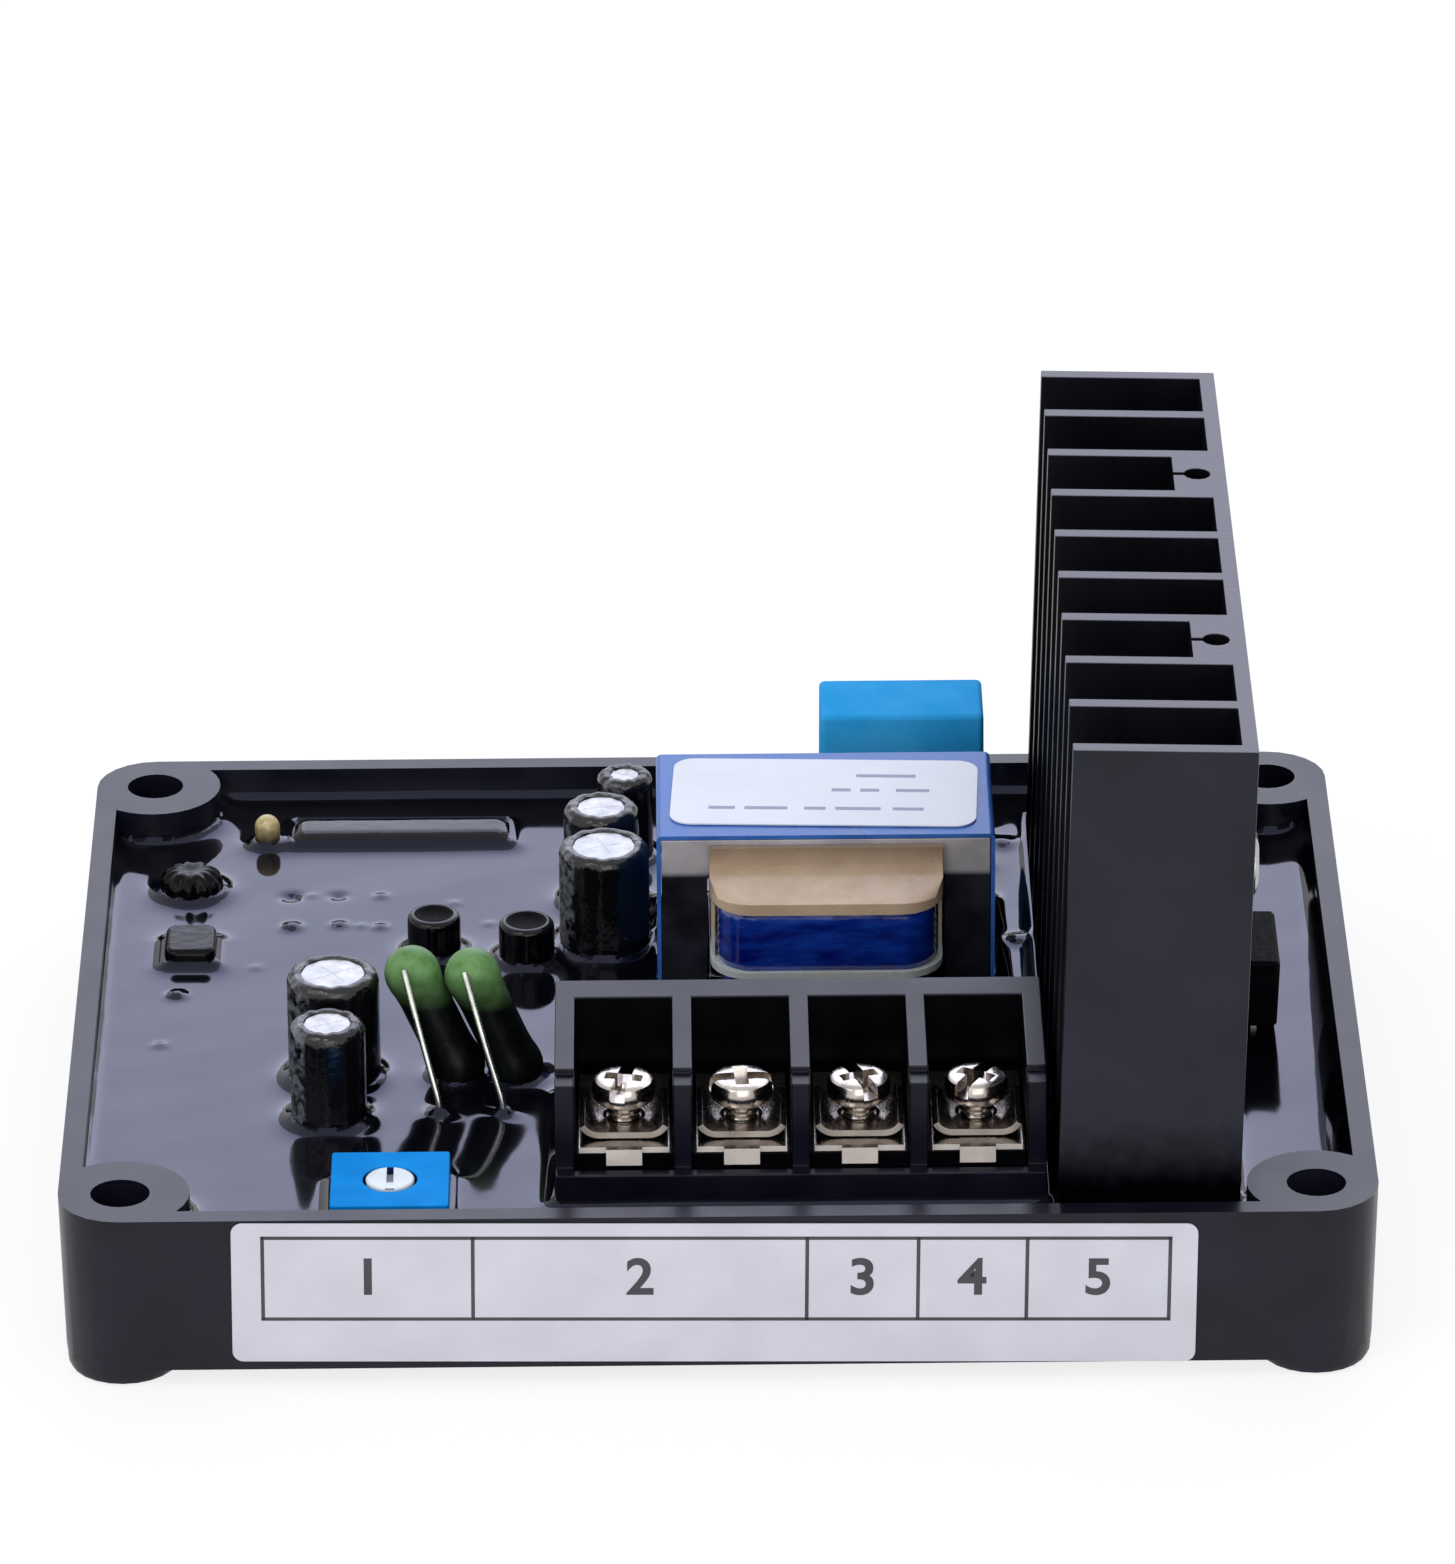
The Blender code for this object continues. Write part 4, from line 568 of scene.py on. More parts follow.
def mix_finishes():
    """Makes every finish of the regulator, once."""
    black_plastic("black_plastic", (12, 12, 24), (22, 22, 36))
    black_plastic("block_plastic", (12, 12, 24), (22, 22, 36), Specular_IOR_Level=0.3)
    # A darker copy for the bays between the ways' parts: painted shade
    black_plastic("block_inside", (3, 3, 7), (7, 7, 12), Specular_IOR_Level=0.1)
    mottled(
        "resin", (4, 4, 9), (9, 9, 17), (0.009,), (0.035, 0.09, 0.02), (0.00002, 0.004, 1),
        IOR=1.455, Specular_Tint=(0.6, 0.64, 1.0, 1.0),
    )
    anodised("anodised", (16, 16, 28), (26, 25, 42), 0.5)
    # A darker copy for the walls between the fins: painted shade
    anodised("anodised_channel", (9, 9, 14), (16, 16, 23), 0.2)
    strokes = (0.0005, 3, (0.06, 1, 1))
    mottled(
        "anodised_sawn", (56, 55, 64), (88, 87, 96), strokes, (0.3, 0.45, *strokes),
        (0.000012, *strokes), Metallic=0.2, IOR=1.4,
    )
    bright_metal("nickel", (160, 152, 146), (198, 190, 183), 0.12, 0.28)
    bright_metal("steel", (154, 155, 158), (190, 191, 194), 0.2, 0.4)
    bright_metal("tinned", (176, 180, 172), (216, 220, 210), 0.2, 0.36)
    core_steel()
    bobbin_cream()
    streaks = (0.0016, 4, (0.35, 0.35, 1.2), 0.6)
    mottled(
        "winding_blue", (2, 6, 96), (14, 62, 168), streaks, (0.15, 0.35, *streaks),
        (0.00012, *streaks), IOR=1.55, Coat_Weight=1.0, Coat_Roughness=0.06,
    )
    mottled(
        "tape_blue", (44, 92, 168), (60, 110, 188), (0.003,), (0.25, 0.4, 0.003),
        (0.00002, 0.0005, 2, (1, 0.3, 1)), IOR=1.42, Specular_IOR_Level=0.35,
    )
    film("label_white", (194, 194, 205), (204, 204, 215))
    film("film_white", (200, 206, 216), (214, 220, 230))
    film("label_ink", (52, 52, 58), (66, 66, 72))
    film("faint_ink", (104, 112, 142), (128, 136, 164))
    sleeve_black()
    mottled(
        "can_aluminium", (180, 182, 186), (212, 214, 219), (0.0014,), (0.3, 0.5, 0.0003),
        (0.000008, 0.0004), Metallic=0.3, IOR=1.4,
    )
    enamel(
        "green_enamel", (5, 9, 6), (80, 122, 64), (112, 152, 98), (0.0012,), (0.0190, 0.0224),
        (0.28, 0.45), 0.00006, IOR=1.36, Specular_IOR_Level=0.3,
    )
    # The tan bead's darker foot is painted shade on its lower side
    enamel(
        "tan_enamel", (64, 54, 36), (164, 146, 98), (206, 190, 142), (0.0006, 4),
        (0.0132, 0.0145), (0.15, 0.3), 0.00003,
    )
    # Each one's colours, lowest and highest roughness, grain, relief, IOR and specular level
    for name, dark, light, *grain, ior, level in (
        # Copies of nickel for faces that look to the front: lighter on the plates, a painted
        # highlight, and darker on the washers, painted shade
        ("nickel_cut_edge", (198, 190, 184), (222, 214, 208), 0.3, 0.42, 0.0003, 0.00001, 1.5, 0.5),
        ("nickel_rolled_edge", (136, 127, 120), (186, 177, 168), 0.28, 0.45, 0.0005, 0.00002, 1.5,
         0.5),
        ("package_black", (3, 3, 6), (8, 8, 12), 0.5, 0.65, 0.0003, 0.00001, 1.25, 0.12),
        ("trimmer_blue", (2, 128, 212), (8, 142, 228), 0.45, 0.6, 0.0004, 0.000012, 1.2, 0.15),
        # Dark blue for the trimmer's well walls: painted shade
        ("well_blue", (1, 22, 58), (3, 34, 82), 0.5, 0.6, 0.0004, 0.000012, 1.2, 0.5),
        # Grey for the floor of the rotor's slot: painted shade on white plastic
        ("slot_grey", (104, 106, 112), (130, 132, 138), 0.45, 0.6, 0.0004, 0.00001, 1.5, 0.5),
        ("rotor_white", (196, 206, 214), (218, 227, 235), 0.3, 0.45, 0.0004, 0.00001, 1.5, 0.5),
        ("box_blue", (38, 154, 220), (60, 164, 232), 0.5, 0.65, 0.0005, 0.000025, 1.22, 0.05),
        ("coated", (4, 4, 8), (9, 9, 15), 0.05, 0.14, 0.003, 0.00008, 1.33, 0.5),
        ("dull_coat", (3, 3, 6), (7, 7, 12), 0.08, 0.2, 0.0012, 0.00008, 1.33, 0.22),
        ("fibre_board", (46, 84, 44), (62, 102, 58), 0.4, 0.55, 0.0004, 0.00001, 1.5, 0.5),
    ):
        grained(name, dark, light, *grain, IOR=ior, Specular_IOR_Level=level)


mix_finishes()


# Sizes and colours that a user would change

def metres(name, description, default):
    """A size that the sidebar shows to a hundredth of a millimetre."""
    return FloatProperty(
        name=name, description=description, default=default, unit="LENGTH", precision=5
    )


def degrees(name, description, turn):
    return FloatProperty(
        name=name, description=description, default=math.radians(turn), subtype="ANGLE"
    )


def amount(name, description, default):
    return FloatProperty(name=name, description=description, default=default)


def shade(name, description, default):
    return FloatVectorProperty(
        name=name, description=description, default=default, subtype="COLOR", min=0, max=1
    )


class TraySettings(bpy.types.PropertyGroup):
    edge: metres("Edge", "Radius of the tray's moulded edges", 0.3 * MM)


class ResinSettings(bpy.types.PropertyGroup):
    cell: metres("Cell", "Size of one face of the resin's top", 0.36 * MM)
    rise: metres("Rise", "How far the resin climbs a wall or a part", 0.85 * MM)
    reach: metres("Reach", "How far from a wall the climb begins", 0.6 * MM)
    bank: metres("Bank", "How much more it climbs the wall beside the heatsink", 0.7 * MM)
    wave: metres("Wave", "Height of the slow waves in the set resin", 0.018 * MM)


class SinkSettings(bpy.types.PropertyGroup):
    edge: metres("Edge", "Radius of the extrusion's edges", 0.14 * MM)


class TerminalSettings(bpy.types.PropertyGroup):
    edge: metres("Edge", "Radius of the block's moulded edges", 0.16 * MM)
    pitch: metres("Thread pitch", "Distance between two turns of the screw's thread", 0.5 * MM)
    recess: metres("Recess depth", "Depth of the cross in a screw's head", 1.6 * MM)


class LabelSettings(bpy.types.PropertyGroup):
    line: metres("Line", "Width of the rating label's printed lines", 0.3 * MM)
    digit: metres("Digit", "Height of the rating label's numbers", 4.6 * MM)


class StageSettings(bpy.types.PropertyGroup):
    distance: metres("Distance", "From the camera to the point it looks at", 924.5 * MM)
    pitch: degrees("Pitch", "How far down the camera looks", 25.42)
    yaw: degrees("Yaw", "How far the camera is turned sideways", -0.33)
    roll: degrees("Roll", "How far the camera leans", -0.38)
    lens: amount("Lens", "Focal length of the camera in millimetres", 257.6)
    fill: amount("Fill", "Strength of the light from all round", 0.74)
    key: amount("Key", "Power of the soft lamp over the front left", 3.4)
    front: amount("Front", "Power of the soft lamp beside the camera", 4.2)
    spark: amount("Spark", "Power of the small lamp whose glints show the wet edges", 0.9)
    back: amount("Back", "Power of the soft lamp behind", 6.8)
    back_tint: shade("Back tint", "Colour of the soft lamp behind", (0.7, 0.74, 1.0))
    floor: shade("Floor", "Colour of the floor", (0.86, 0.86, 0.87))


class RegulatorSettings(bpy.types.PropertyGroup):
    tray: PointerProperty(type=TraySettings)
    resin: PointerProperty(type=ResinSettings)
    sink: PointerProperty(type=SinkSettings)
    terminal: PointerProperty(type=TerminalSettings)
    label: PointerProperty(type=LabelSettings)
    stage: PointerProperty(type=StageSettings)


# Tray, board and resin

class REGULATOR_OT_tray(bpy.types.Operator):
    """Model the moulded tray with soft edges"""
    bl_idname = "regulator.tray"
    bl_label = "Tray"

    def execute(self, context):
        tray = dressed_copy("tray", "case", context.scene.regulator.tray.edge)
        finish_piece(tray, "black_plastic", "case")
        return {"FINISHED"}


class REGULATOR_OT_hidden_parts(bpy.types.Operator):
    """Finish the board, the screws and the winding that the resin hides"""
    bl_idname = "regulator.hidden_parts"
    bl_label = "Hidden parts"

    def execute(self, context):
        for node, look in (
            ("circuit_board", "fibre_board"), ("heatsink_screw_front", "steel"),
            ("heatsink_screw_rear", "steel"), ("transformer_winding_lower", "winding_blue"),
        ):
            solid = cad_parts[node]
            solid.data.materials.clear()
            solid.data.materials.append(finishes[look])
        return {"FINISHED"}


RESIN_ROUNDS = (
    "capacitor_front_sleeve", "capacitor_second_sleeve", "capacitor_tall_sleeve",
    "capacitor_middle_sleeve", "capacitor_rear_sleeve", "small_capacitor_1", "small_capacitor_2",
    "upright_resistor", "coated_choke",
)
# Boxes that stand in the resin, and how far their rounded tops pull the waterline in
RESIN_BOXES = (
    ("terminal_housing", 0), ("trimmer_body", 0), ("box_capacitor", 0), ("transformer_tape", 0),
    ("ceramic_resistor", 0.7), ("coated_film_capacitor", 0.1),
)
# The feet and the leads of the green resistors: x, y and radius, in metres
RESIN_FEET = (
    (-0.0213, -0.0121, 0.0019), (-0.0165, -0.0123, 0.0019), (-0.02266, -0.0189, 0.0003),
    (-0.01742, -0.0190, 0.0003),
)
# Solder joints and wire ends under the resin's skin: x, y, radius, height, in millimetres
RESIN_MARKS = (
    (-35.9, 22.0, 0.7, -0.38), (-34.2, 22.1, 0.4, 0.12), (-31.9, 22.0, 0.6, -0.30),
    (-28.3, 21.8, 0.5, 0.20), (-35.7, 16.0, 0.7, 0.42), (-31.7, 16.3, 0.55, 0.34),
    (-29.9, 16.1, 0.4, 0.14), (-28.2, 15.9, 0.5, 0.26), (-45.0, 3.2, 0.65, 0.48),
    (-46.1, -5.9, 0.5, 0.20), (-22.0, 20.4, 0.45, 0.12), (-19.0, 16.4, 0.45, 0.12),
    (-38.6, 8.4, 0.5, 0.10), (-20.6, 3.2, 0.5, 0.12), (25.6, 12.1, 1.0, 0.45),
    (24.9, 30.8, 1.0, 0.45), (25.2, -4.0, 0.9, 0.35),
)
# Slow waves: how fast each turns along X and Y, where it starts and how high it is
RESIN_WAVES = (
    (0.42, 0.11, 0.3, 1.0), (-0.17, 0.37, 1.9, 0.8), (0.29, -0.33, 4.0, 0.7),
    (0.71, 0.23, 2.2, 0.35), (-0.36, 0.81, 5.1, 0.3),
)


def round_gap(x, y, centre_x, centre_y, radius):
    return np.hypot(x - centre_x, y - centre_y) - radius


def box_gap(x, y, low, high, corner=0.0):
    """The distance from points to a box seen from above, with rounded corners."""
    across = np.abs(x - (low[0] + high[0]) / 2) - (high[0] - low[0]) / 2 + corner
    along = np.abs(y - (low[1] + high[1]) / 2) - (high[1] - low[1]) / 2 + corner
    outside = np.hypot(np.maximum(across, 0), np.maximum(along, 0))
    return outside + np.minimum(np.maximum(across, along), 0) - corner


def resin_gaps(x, y):
    """How far points lie from each thing that the resin climbs."""
    yield np.maximum(INNER_X - np.abs(x), 0)
    yield np.maximum(INNER_Y - np.abs(y), 0)
    for side_x in (-1, 1):
        for side_y in (-1, 1):
            yield round_gap(x, y, side_x * HOLE_X, side_y * HOLE_Y, BOSS_RADIUS)
    for node in RESIN_ROUNDS:
        _, _, middle, radius = measures(node)
        yield round_gap(x, y, middle.x, middle.y, radius)
    for node, inset in RESIN_BOXES:
        low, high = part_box(node)
        inward = Vector((inset, inset, 0)) * MM
        yield box_gap(x, y, low + inward, high - inward, corner=0.0004)
    bobbin_low, bobbin_high = (-0.00035, -0.0018), (0.01905, 0.0262)
    yield box_gap(x, y, bobbin_low, bobbin_high, corner=0.0035)
    sink_low, sink_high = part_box("heatsink")
    yield box_gap(x, y, sink_low, (0.0419, sink_high.y))
    for foot in RESIN_FEET:
        yield round_gap(x, y, *foot)


def resin_height(x, y, settings):
    """The set surface: it climbs what it touches, and is a little wavy between."""
    touching, bank_reach = 0.97, 2.4 * settings.reach
    clear = np.ones_like(x)
    for gap in resin_gaps(x, y):
        clear *= 1 - touching * np.exp(-np.abs(gap) / settings.reach)
    height = RESIN_LEVEL + settings.rise * (1 - clear)
    height += settings.bank * np.exp(-np.maximum(INNER_X - x, 0) / bank_reach)
    for across, along, start, size in RESIN_WAVES:
        height += settings.wave * size * np.sin((x * across + y * along) / MM + start)
    for mark_x, mark_y, radius, rise in RESIN_MARKS:
        away = np.hypot(x / MM - mark_x, y / MM - mark_y) / radius
        height += rise * MM * np.exp(-away ** 2)
    return height


class REGULATOR_OT_resin(bpy.types.Operator):
    """Pour the resin: a fine grid whose height is worked out, closed down to the board"""
    bl_idname = "regulator.resin"
    bl_label = "Resin"

    def execute(self, context):
        settings = context.scene.regulator.resin
        tuck = 0.15 * MM
        reach_x, reach_y = INNER_X + tuck, INNER_Y + tuck
        deselect_all()
        bpy.ops.mesh.primitive_grid_add(
            x_subdivisions=round(2 * reach_x / settings.cell),
            y_subdivisions=round(2 * reach_y / settings.cell),
            size=1, location=(0, 0, RESIN_LEVEL),
        )
        resin = added("potting_resin")
        resin.scale = (2 * reach_x, 2 * reach_y, 1)
        settle(resin)
        places = np.zeros(len(resin.data.vertices) * 3)
        resin.data.vertices.foreach_get("co", places)
        places = places.reshape(-1, 3)
        places[:, 2] = resin_height(places[:, 0], places[:, 1], settings)
        resin.data.vertices.foreach_set("co", places.ravel())
        open_shape(resin)
        pick(resin, "edges", lambda edge: edge.is_boundary)
        bpy.ops.mesh.extrude_region_move()
        bpy.ops.transform.resize(value=(1, 1, 0), center_override=(0, 0, BOARD_TOP))
        bpy.ops.mesh.edge_face_add()
        close_shape()
        point_out(resin)
        finish_piece(resin, "resin", "potting", smooth=60, flat=False)
        return {"FINISHED"}


# Heatsink and its transistor

class REGULATOR_OT_heatsink(bpy.types.Operator):
    """Model the finned extrusion, with its sawn ends"""
    bl_idname = "regulator.heatsink"
    bl_label = "Heatsink"

    def execute(self, context):
        sink = dressed_copy("finned_heatsink", "heatsink", context.scene.regulator.sink.edge)
        finish_piece(sink, ("anodised", "anodised_sawn", "anodised_channel"), "heatsink")
        paint_faces(sink, lambda face: abs(face.normal.z) > 0.8)
        to_sink = SINK_PLACE.inverted()
        # Painted shade: the channel walls between the fins get the darker copy
        paint_faces(sink, lambda face: self.between_fins(face, to_sink), 2)
        return {"FINISHED"}

    def between_fins(self, face, to_sink):
        """Whether a face is one of the walls of the channels, or a fin's tip."""
        spot = to_sink @ face.center
        skin, rear = 0.2 * MM, 75.3 * MM
        inside = skin < spot.y < rear and spot.x < SINK_DEPTH - skin
        return inside and abs(face.normal.z) < 0.3


def recess_tool(name, head, depth, top):
    """A slot right across a screw's head and a deeper tapered cross, as one cutter."""
    span, width, slot = head * 0.74, head * 0.26, head * 0.23
    arms = [block(name, (-head * 1.3, -slot, -depth * 0.7), (head * 1.3, slot, MM))]
    for number, half in enumerate(((span, width), (width, span))):
        arm = block(f"{name}_{number}", (-half[0], -half[1], -depth), (half[0], half[1], MM))
        open_shape(arm)
        pick(arm, "faces", lambda face: face.normal.z < -0.9)
        bpy.ops.transform.resize(value=(0.5, 0.5, 1), center_override=(0, 0, -depth))
        close_shape()
        arms.append(arm)
    combine("UNION", *arms)
    arms[0].location.z = top
    return settle(arms[0])


def pan_head_screw(name, head, rise, shank, length, pitch, recess):
    """A screw with its seat at zero and its slot and cross upwards."""
    root = shank - 0.3 * pitch
    # The head's line, as shares of its radius and height
    profile = [(head * out, rise * up) for out, up in (
        (0, 1), (0.5, 0.99), (0.76, 0.965), (0.9, 0.88), (0.975, 0.72), (1, 0.45), (0.97, 0.1),
        (0.92, 0),
    )]
    profile += [(shank * 1.08, 0), (root, -0.4 * pitch)]
    for turn in range(int((length - pitch) / pitch)):
        z = -0.5 * pitch - turn * pitch
        profile += [
            (root, z - 0.08 * pitch), (shank, z - 0.42 * pitch), (shank, z - 0.55 * pitch),
            (root, z - 0.9 * pitch),
        ]
    profile += [(root, -length + 0.1 * pitch), (root * 0.8, -length), (0, -length)]
    screw = turned(name, profile, steps=48)
    combine("DIFFERENCE", screw, recess_tool(name + "_recess", head, recess, rise))
    return screw


class REGULATOR_OT_transistor(bpy.types.Operator):
    """Model the power transistor on the heatsink's outer face, and its screw"""
    bl_idname = "regulator.transistor"
    bl_label = "Transistor"

    def execute(self, context):
        pitch = context.scene.regulator.terminal.pitch
        device = dressed_copy("transistor", "power_transistor")
        body_low, body_top, lower = 13.2 * MM, 22.0 * MM, 3.2 * MM
        for vertex in device.data.vertices:
            if body_top < vertex.co.z < body_top + MM:
                vertex.co.z -= lower
        soften(device, 0.2 * MM)
        finish_piece(device, ("package_black", "tinned"), "power_transistor")
        tab = body_top - lower + 1.2 * MM
        paint_faces(device, lambda face: face.center.z < body_low or face.center.z > tab)
        screw = pan_head_screw(
            "transistor_screw", head=2.75 * MM, rise=1.2 * MM, shank=1.45 * MM, length=5.6 * MM,
            pitch=pitch, recess=0.8 * MM,
        )
        seat = SINK_PLACE @ Matrix.Translation((SINK_DEPTH + 1.7 * MM, 0, 0))
        middle = seat.inverted() @ centre_of("power_transistor_screw")
        placed(screw, seat @ Matrix.Translation((0, middle.y, middle.z))
               @ Matrix.Rotation(math.pi / 2, 4, "Y"))
        finish_piece(screw, "steel", "power_transistor_screw")
        return {"FINISHED"}


# Terminals

class REGULATOR_OT_terminal_block(bpy.types.Operator):
    """Model the four-way barrier block"""
    bl_idname = "regulator.terminal_block"
    bl_label = "Terminal block"

    def execute(self, context):
        edge = context.scene.regulator.terminal.edge
        housing = dressed_copy("barrier_block", "terminal_housing", edge)
        finish_piece(
            housing, ("block_plastic", "block_inside"), "terminal_housing", slot="black_plastic"
        )
        ways = [centre_of(f"terminal_screw_{way}").x for way in WAYS]
        # Painted shade: the walls and floors of the bays get the darker copy
        paint_faces(housing, lambda face: self.in_a_bay(face.center, ways))
        return {"FINISHED"}

    def in_a_bay(self, spot, ways):
        """Whether a place is on one of the walls or floors that a way's parts stand between."""
        front, rear, top, half_bay = -35.0 * MM, -16.4 * MM, 22.6 * MM, 4.3 * MM
        if not (front < spot.y < rear and spot.z < top):
            return False
        return min(abs(spot.x - way) for way in ways) < half_bay


def for_every_way(first, name, node):
    """A first way's piece and its copies, each as far along as its node."""
    start = centre_of(f"{node}_1")
    return [first] + [
        copied(first, f"{name}_{way}", centre_of(f"{node}_{way}") - start) for way in WAYS[1:]
    ]


def edge_on(face):
    """Whether a face looks to the front, where painted highlight and painted shade go."""
    return face.normal.y < -0.6


class REGULATOR_OT_contacts(bpy.types.Operator):
    """Model a contact plate and its curled clamp washer, and copy them to every way"""
    bl_idname = "regulator.contacts"
    bl_label = "Contacts"

    def execute(self, context):
        plate = dressed_copy("contact_1", "contact_plate_1", 0.07 * MM)
        washer = self.washer()
        plates = for_every_way(plate, "contact", "contact_plate")
        washers = for_every_way(washer, "curled_washer", "clamp_washer")
        for way, plate, washer in zip(WAYS, plates, washers):
            finish_piece(plate, ("nickel", "nickel_cut_edge"), f"contact_plate_{way}")
            finish_piece(
                washer, ("nickel", "nickel_rolled_edge"), f"clamp_washer_{way}",
                body=f"washer_{way}", smooth=40,
            )
            # Painted highlight on the plates' front faces, painted shade on the washers' front
            # faces
            paint_faces(plate, edge_on)
            paint_faces(washer, edge_on)
        return {"FINISHED"}

    def washer(self):
        """A square washer whose two ends are rolled up, bored for the screw."""
        low, high, middle, _ = measures("clamp_washer_1")
        thick, half, bore = 0.55 * MM, 1.97 * MM, 1.7 * MM
        radius, turn, steps = 1.3 * MM, math.radians(62), 8
        end = half + radius * turn
        washer = block(
            "curled_washer_1", (middle.x - end, low.y, low.z),
            (middle.x + end, high.y, low.z + thick),
        )
        open_shape(washer)
        for side in (-1, 1):
            for step in range(steps):
                away = half + radius * turn * step / steps
                cut_across((middle.x + side * away, 0, 0), (1, 0, 0))
        close_shape()
        curl = low.z + thick + radius
        for vertex in washer.data.vertices:
            past = abs(vertex.co.x - middle.x) - half
            if past > 0:
                angle, reach = past / radius, curl - vertex.co.z
                side = math.copysign(1, vertex.co.x - middle.x)
                vertex.co.x = middle.x + side * (half + reach * math.sin(angle))
                vertex.co.z = curl - reach * math.cos(angle)
        drill = rod("washer_bore", bore, low.z - MM, low.z + 3 * MM, middle, 40)
        combine("DIFFERENCE", washer, drill)
        soften(washer, 0.06 * MM)
        return washer


class REGULATOR_OT_terminal_screws(bpy.types.Operator):
    """Model a terminal screw and copy it, each copy stopped at its own turn"""
    bl_idname = "regulator.terminal_screws"
    bl_label = "Terminal screws"

    # Where each screw has stopped, in degrees
    turns = (78, 4, 112, 60)

    def execute(self, context):
        terminal = context.scene.regulator.terminal
        _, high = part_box("terminal_screw_1")
        rise = 1.9 * MM
        first = pan_head_screw(
            "clamp_screw_1", head=2.6 * MM, rise=rise, shank=1.45 * MM, length=8.0 * MM,
            pitch=terminal.pitch, recess=terminal.recess,
        )
        soften(first, 0.05 * MM, 50)
        screws = [first] + [copied(first, f"clamp_screw_{way}") for way in WAYS[1:]]
        for way, turn, screw in zip(WAYS, self.turns, screws):
            node = f"terminal_screw_{way}"
            placed(screw, set_down(centre_of(node), high.z - rise, math.radians(turn)))
            finish_piece(screw, "nickel", node, body=f"screw_{way}")
        return {"FINISHED"}


# Trimmer

class REGULATOR_OT_trimmer(bpy.types.Operator):
    """Model the blue trimmer and its slotted rotor"""
    bl_idname = "regulator.trimmer"
    bl_label = "Trimmer"

    def execute(self, context):
        low, high, at, radius = measures("trimmer_rotor")
        self.case(at, radius, low.z)
        self.rotor(at, radius, low.z, high.z)
        return {"FINISHED"}

    def case(self, at, radius, rotor_foot):
        body, top = board_block("trimmer_case", "trimmer_body")
        bevel_picked(body, upright, 0.25 * MM, 3)
        room = 0.25 * MM
        well = rod("rotor_well", radius + room, rotor_foot - room, top + MM, at, 64)
        combine("DIFFERENCE", body, well)
        soften(body, 0.12 * MM)
        finish_piece(body, ("trimmer_blue", "well_blue"), "trimmer_body")
        edge, wall = top - 0.2 * MM, radius + 0.3 * MM
        # Painted shade: the walls of the well round the rotor get the dark blue
        paint_faces(
            body,
            lambda face: face.center.z < edge and (face.center - at).to_2d().length < wall,
        )

    def rotor(self, at, radius, foot, top):
        rotor = turned(
            "slotted_rotor",
            ((0, top - 0.02 * MM), (radius - 0.45 * MM, top), (radius - 0.12 * MM, top),
             (radius, top - 0.12 * MM), (radius, foot), (0, foot)),
            at,
        )
        half, shallow, deeper = 0.28 * MM, 0.12 * MM, 0.8 * MM
        slot = block(
            "rotor_slot", (at.x - half, at.y - 0.8 * MM, top - shallow),
            (at.x + half, at.y + radius + MM, top + MM),
        )
        for vertex in slot.data.vertices:
            if vertex.co.z < top and vertex.co.y > at.y:
                vertex.co.z -= deeper
        combine("DIFFERENCE", rotor, slot)
        soften(rotor, 0.04 * MM)
        finish_piece(rotor, ("rotor_white", "slot_grey"), "trimmer_rotor", body="trimmer")
        # Painted shade: the sloping floor of the slot gets grey
        paint_faces(
            rotor,
            lambda face: abs(face.center.x - at.x) < 0.29 * MM and face.center.z < top - 0.03 * MM
            and 0.2 < face.normal.z < 0.995,
        )


# Transformer

class REGULATOR_OT_core(bpy.types.Operator):
    """Model the stacked core"""
    bl_idname = "regulator.core"
    bl_label = "Core"

    def execute(self, context):
        core = dressed_copy("laminated_core", "transformer_core", 0.1 * MM)
        finish_piece(core, "core_steel", "transformer_core")
        return {"FINISHED"}


class REGULATOR_OT_bobbin(bpy.types.Operator):
    """Model the moulded bobbin"""
    bl_idname = "regulator.bobbin"
    bl_label = "Bobbin"

    def execute(self, context):
        bobbin = dressed_copy("moulded_bobbin", "transformer_bobbin", 0.16 * MM, 30)
        finish_piece(bobbin, "bobbin_cream", "transformer_bobbin", smooth=45)
        return {"FINISHED"}


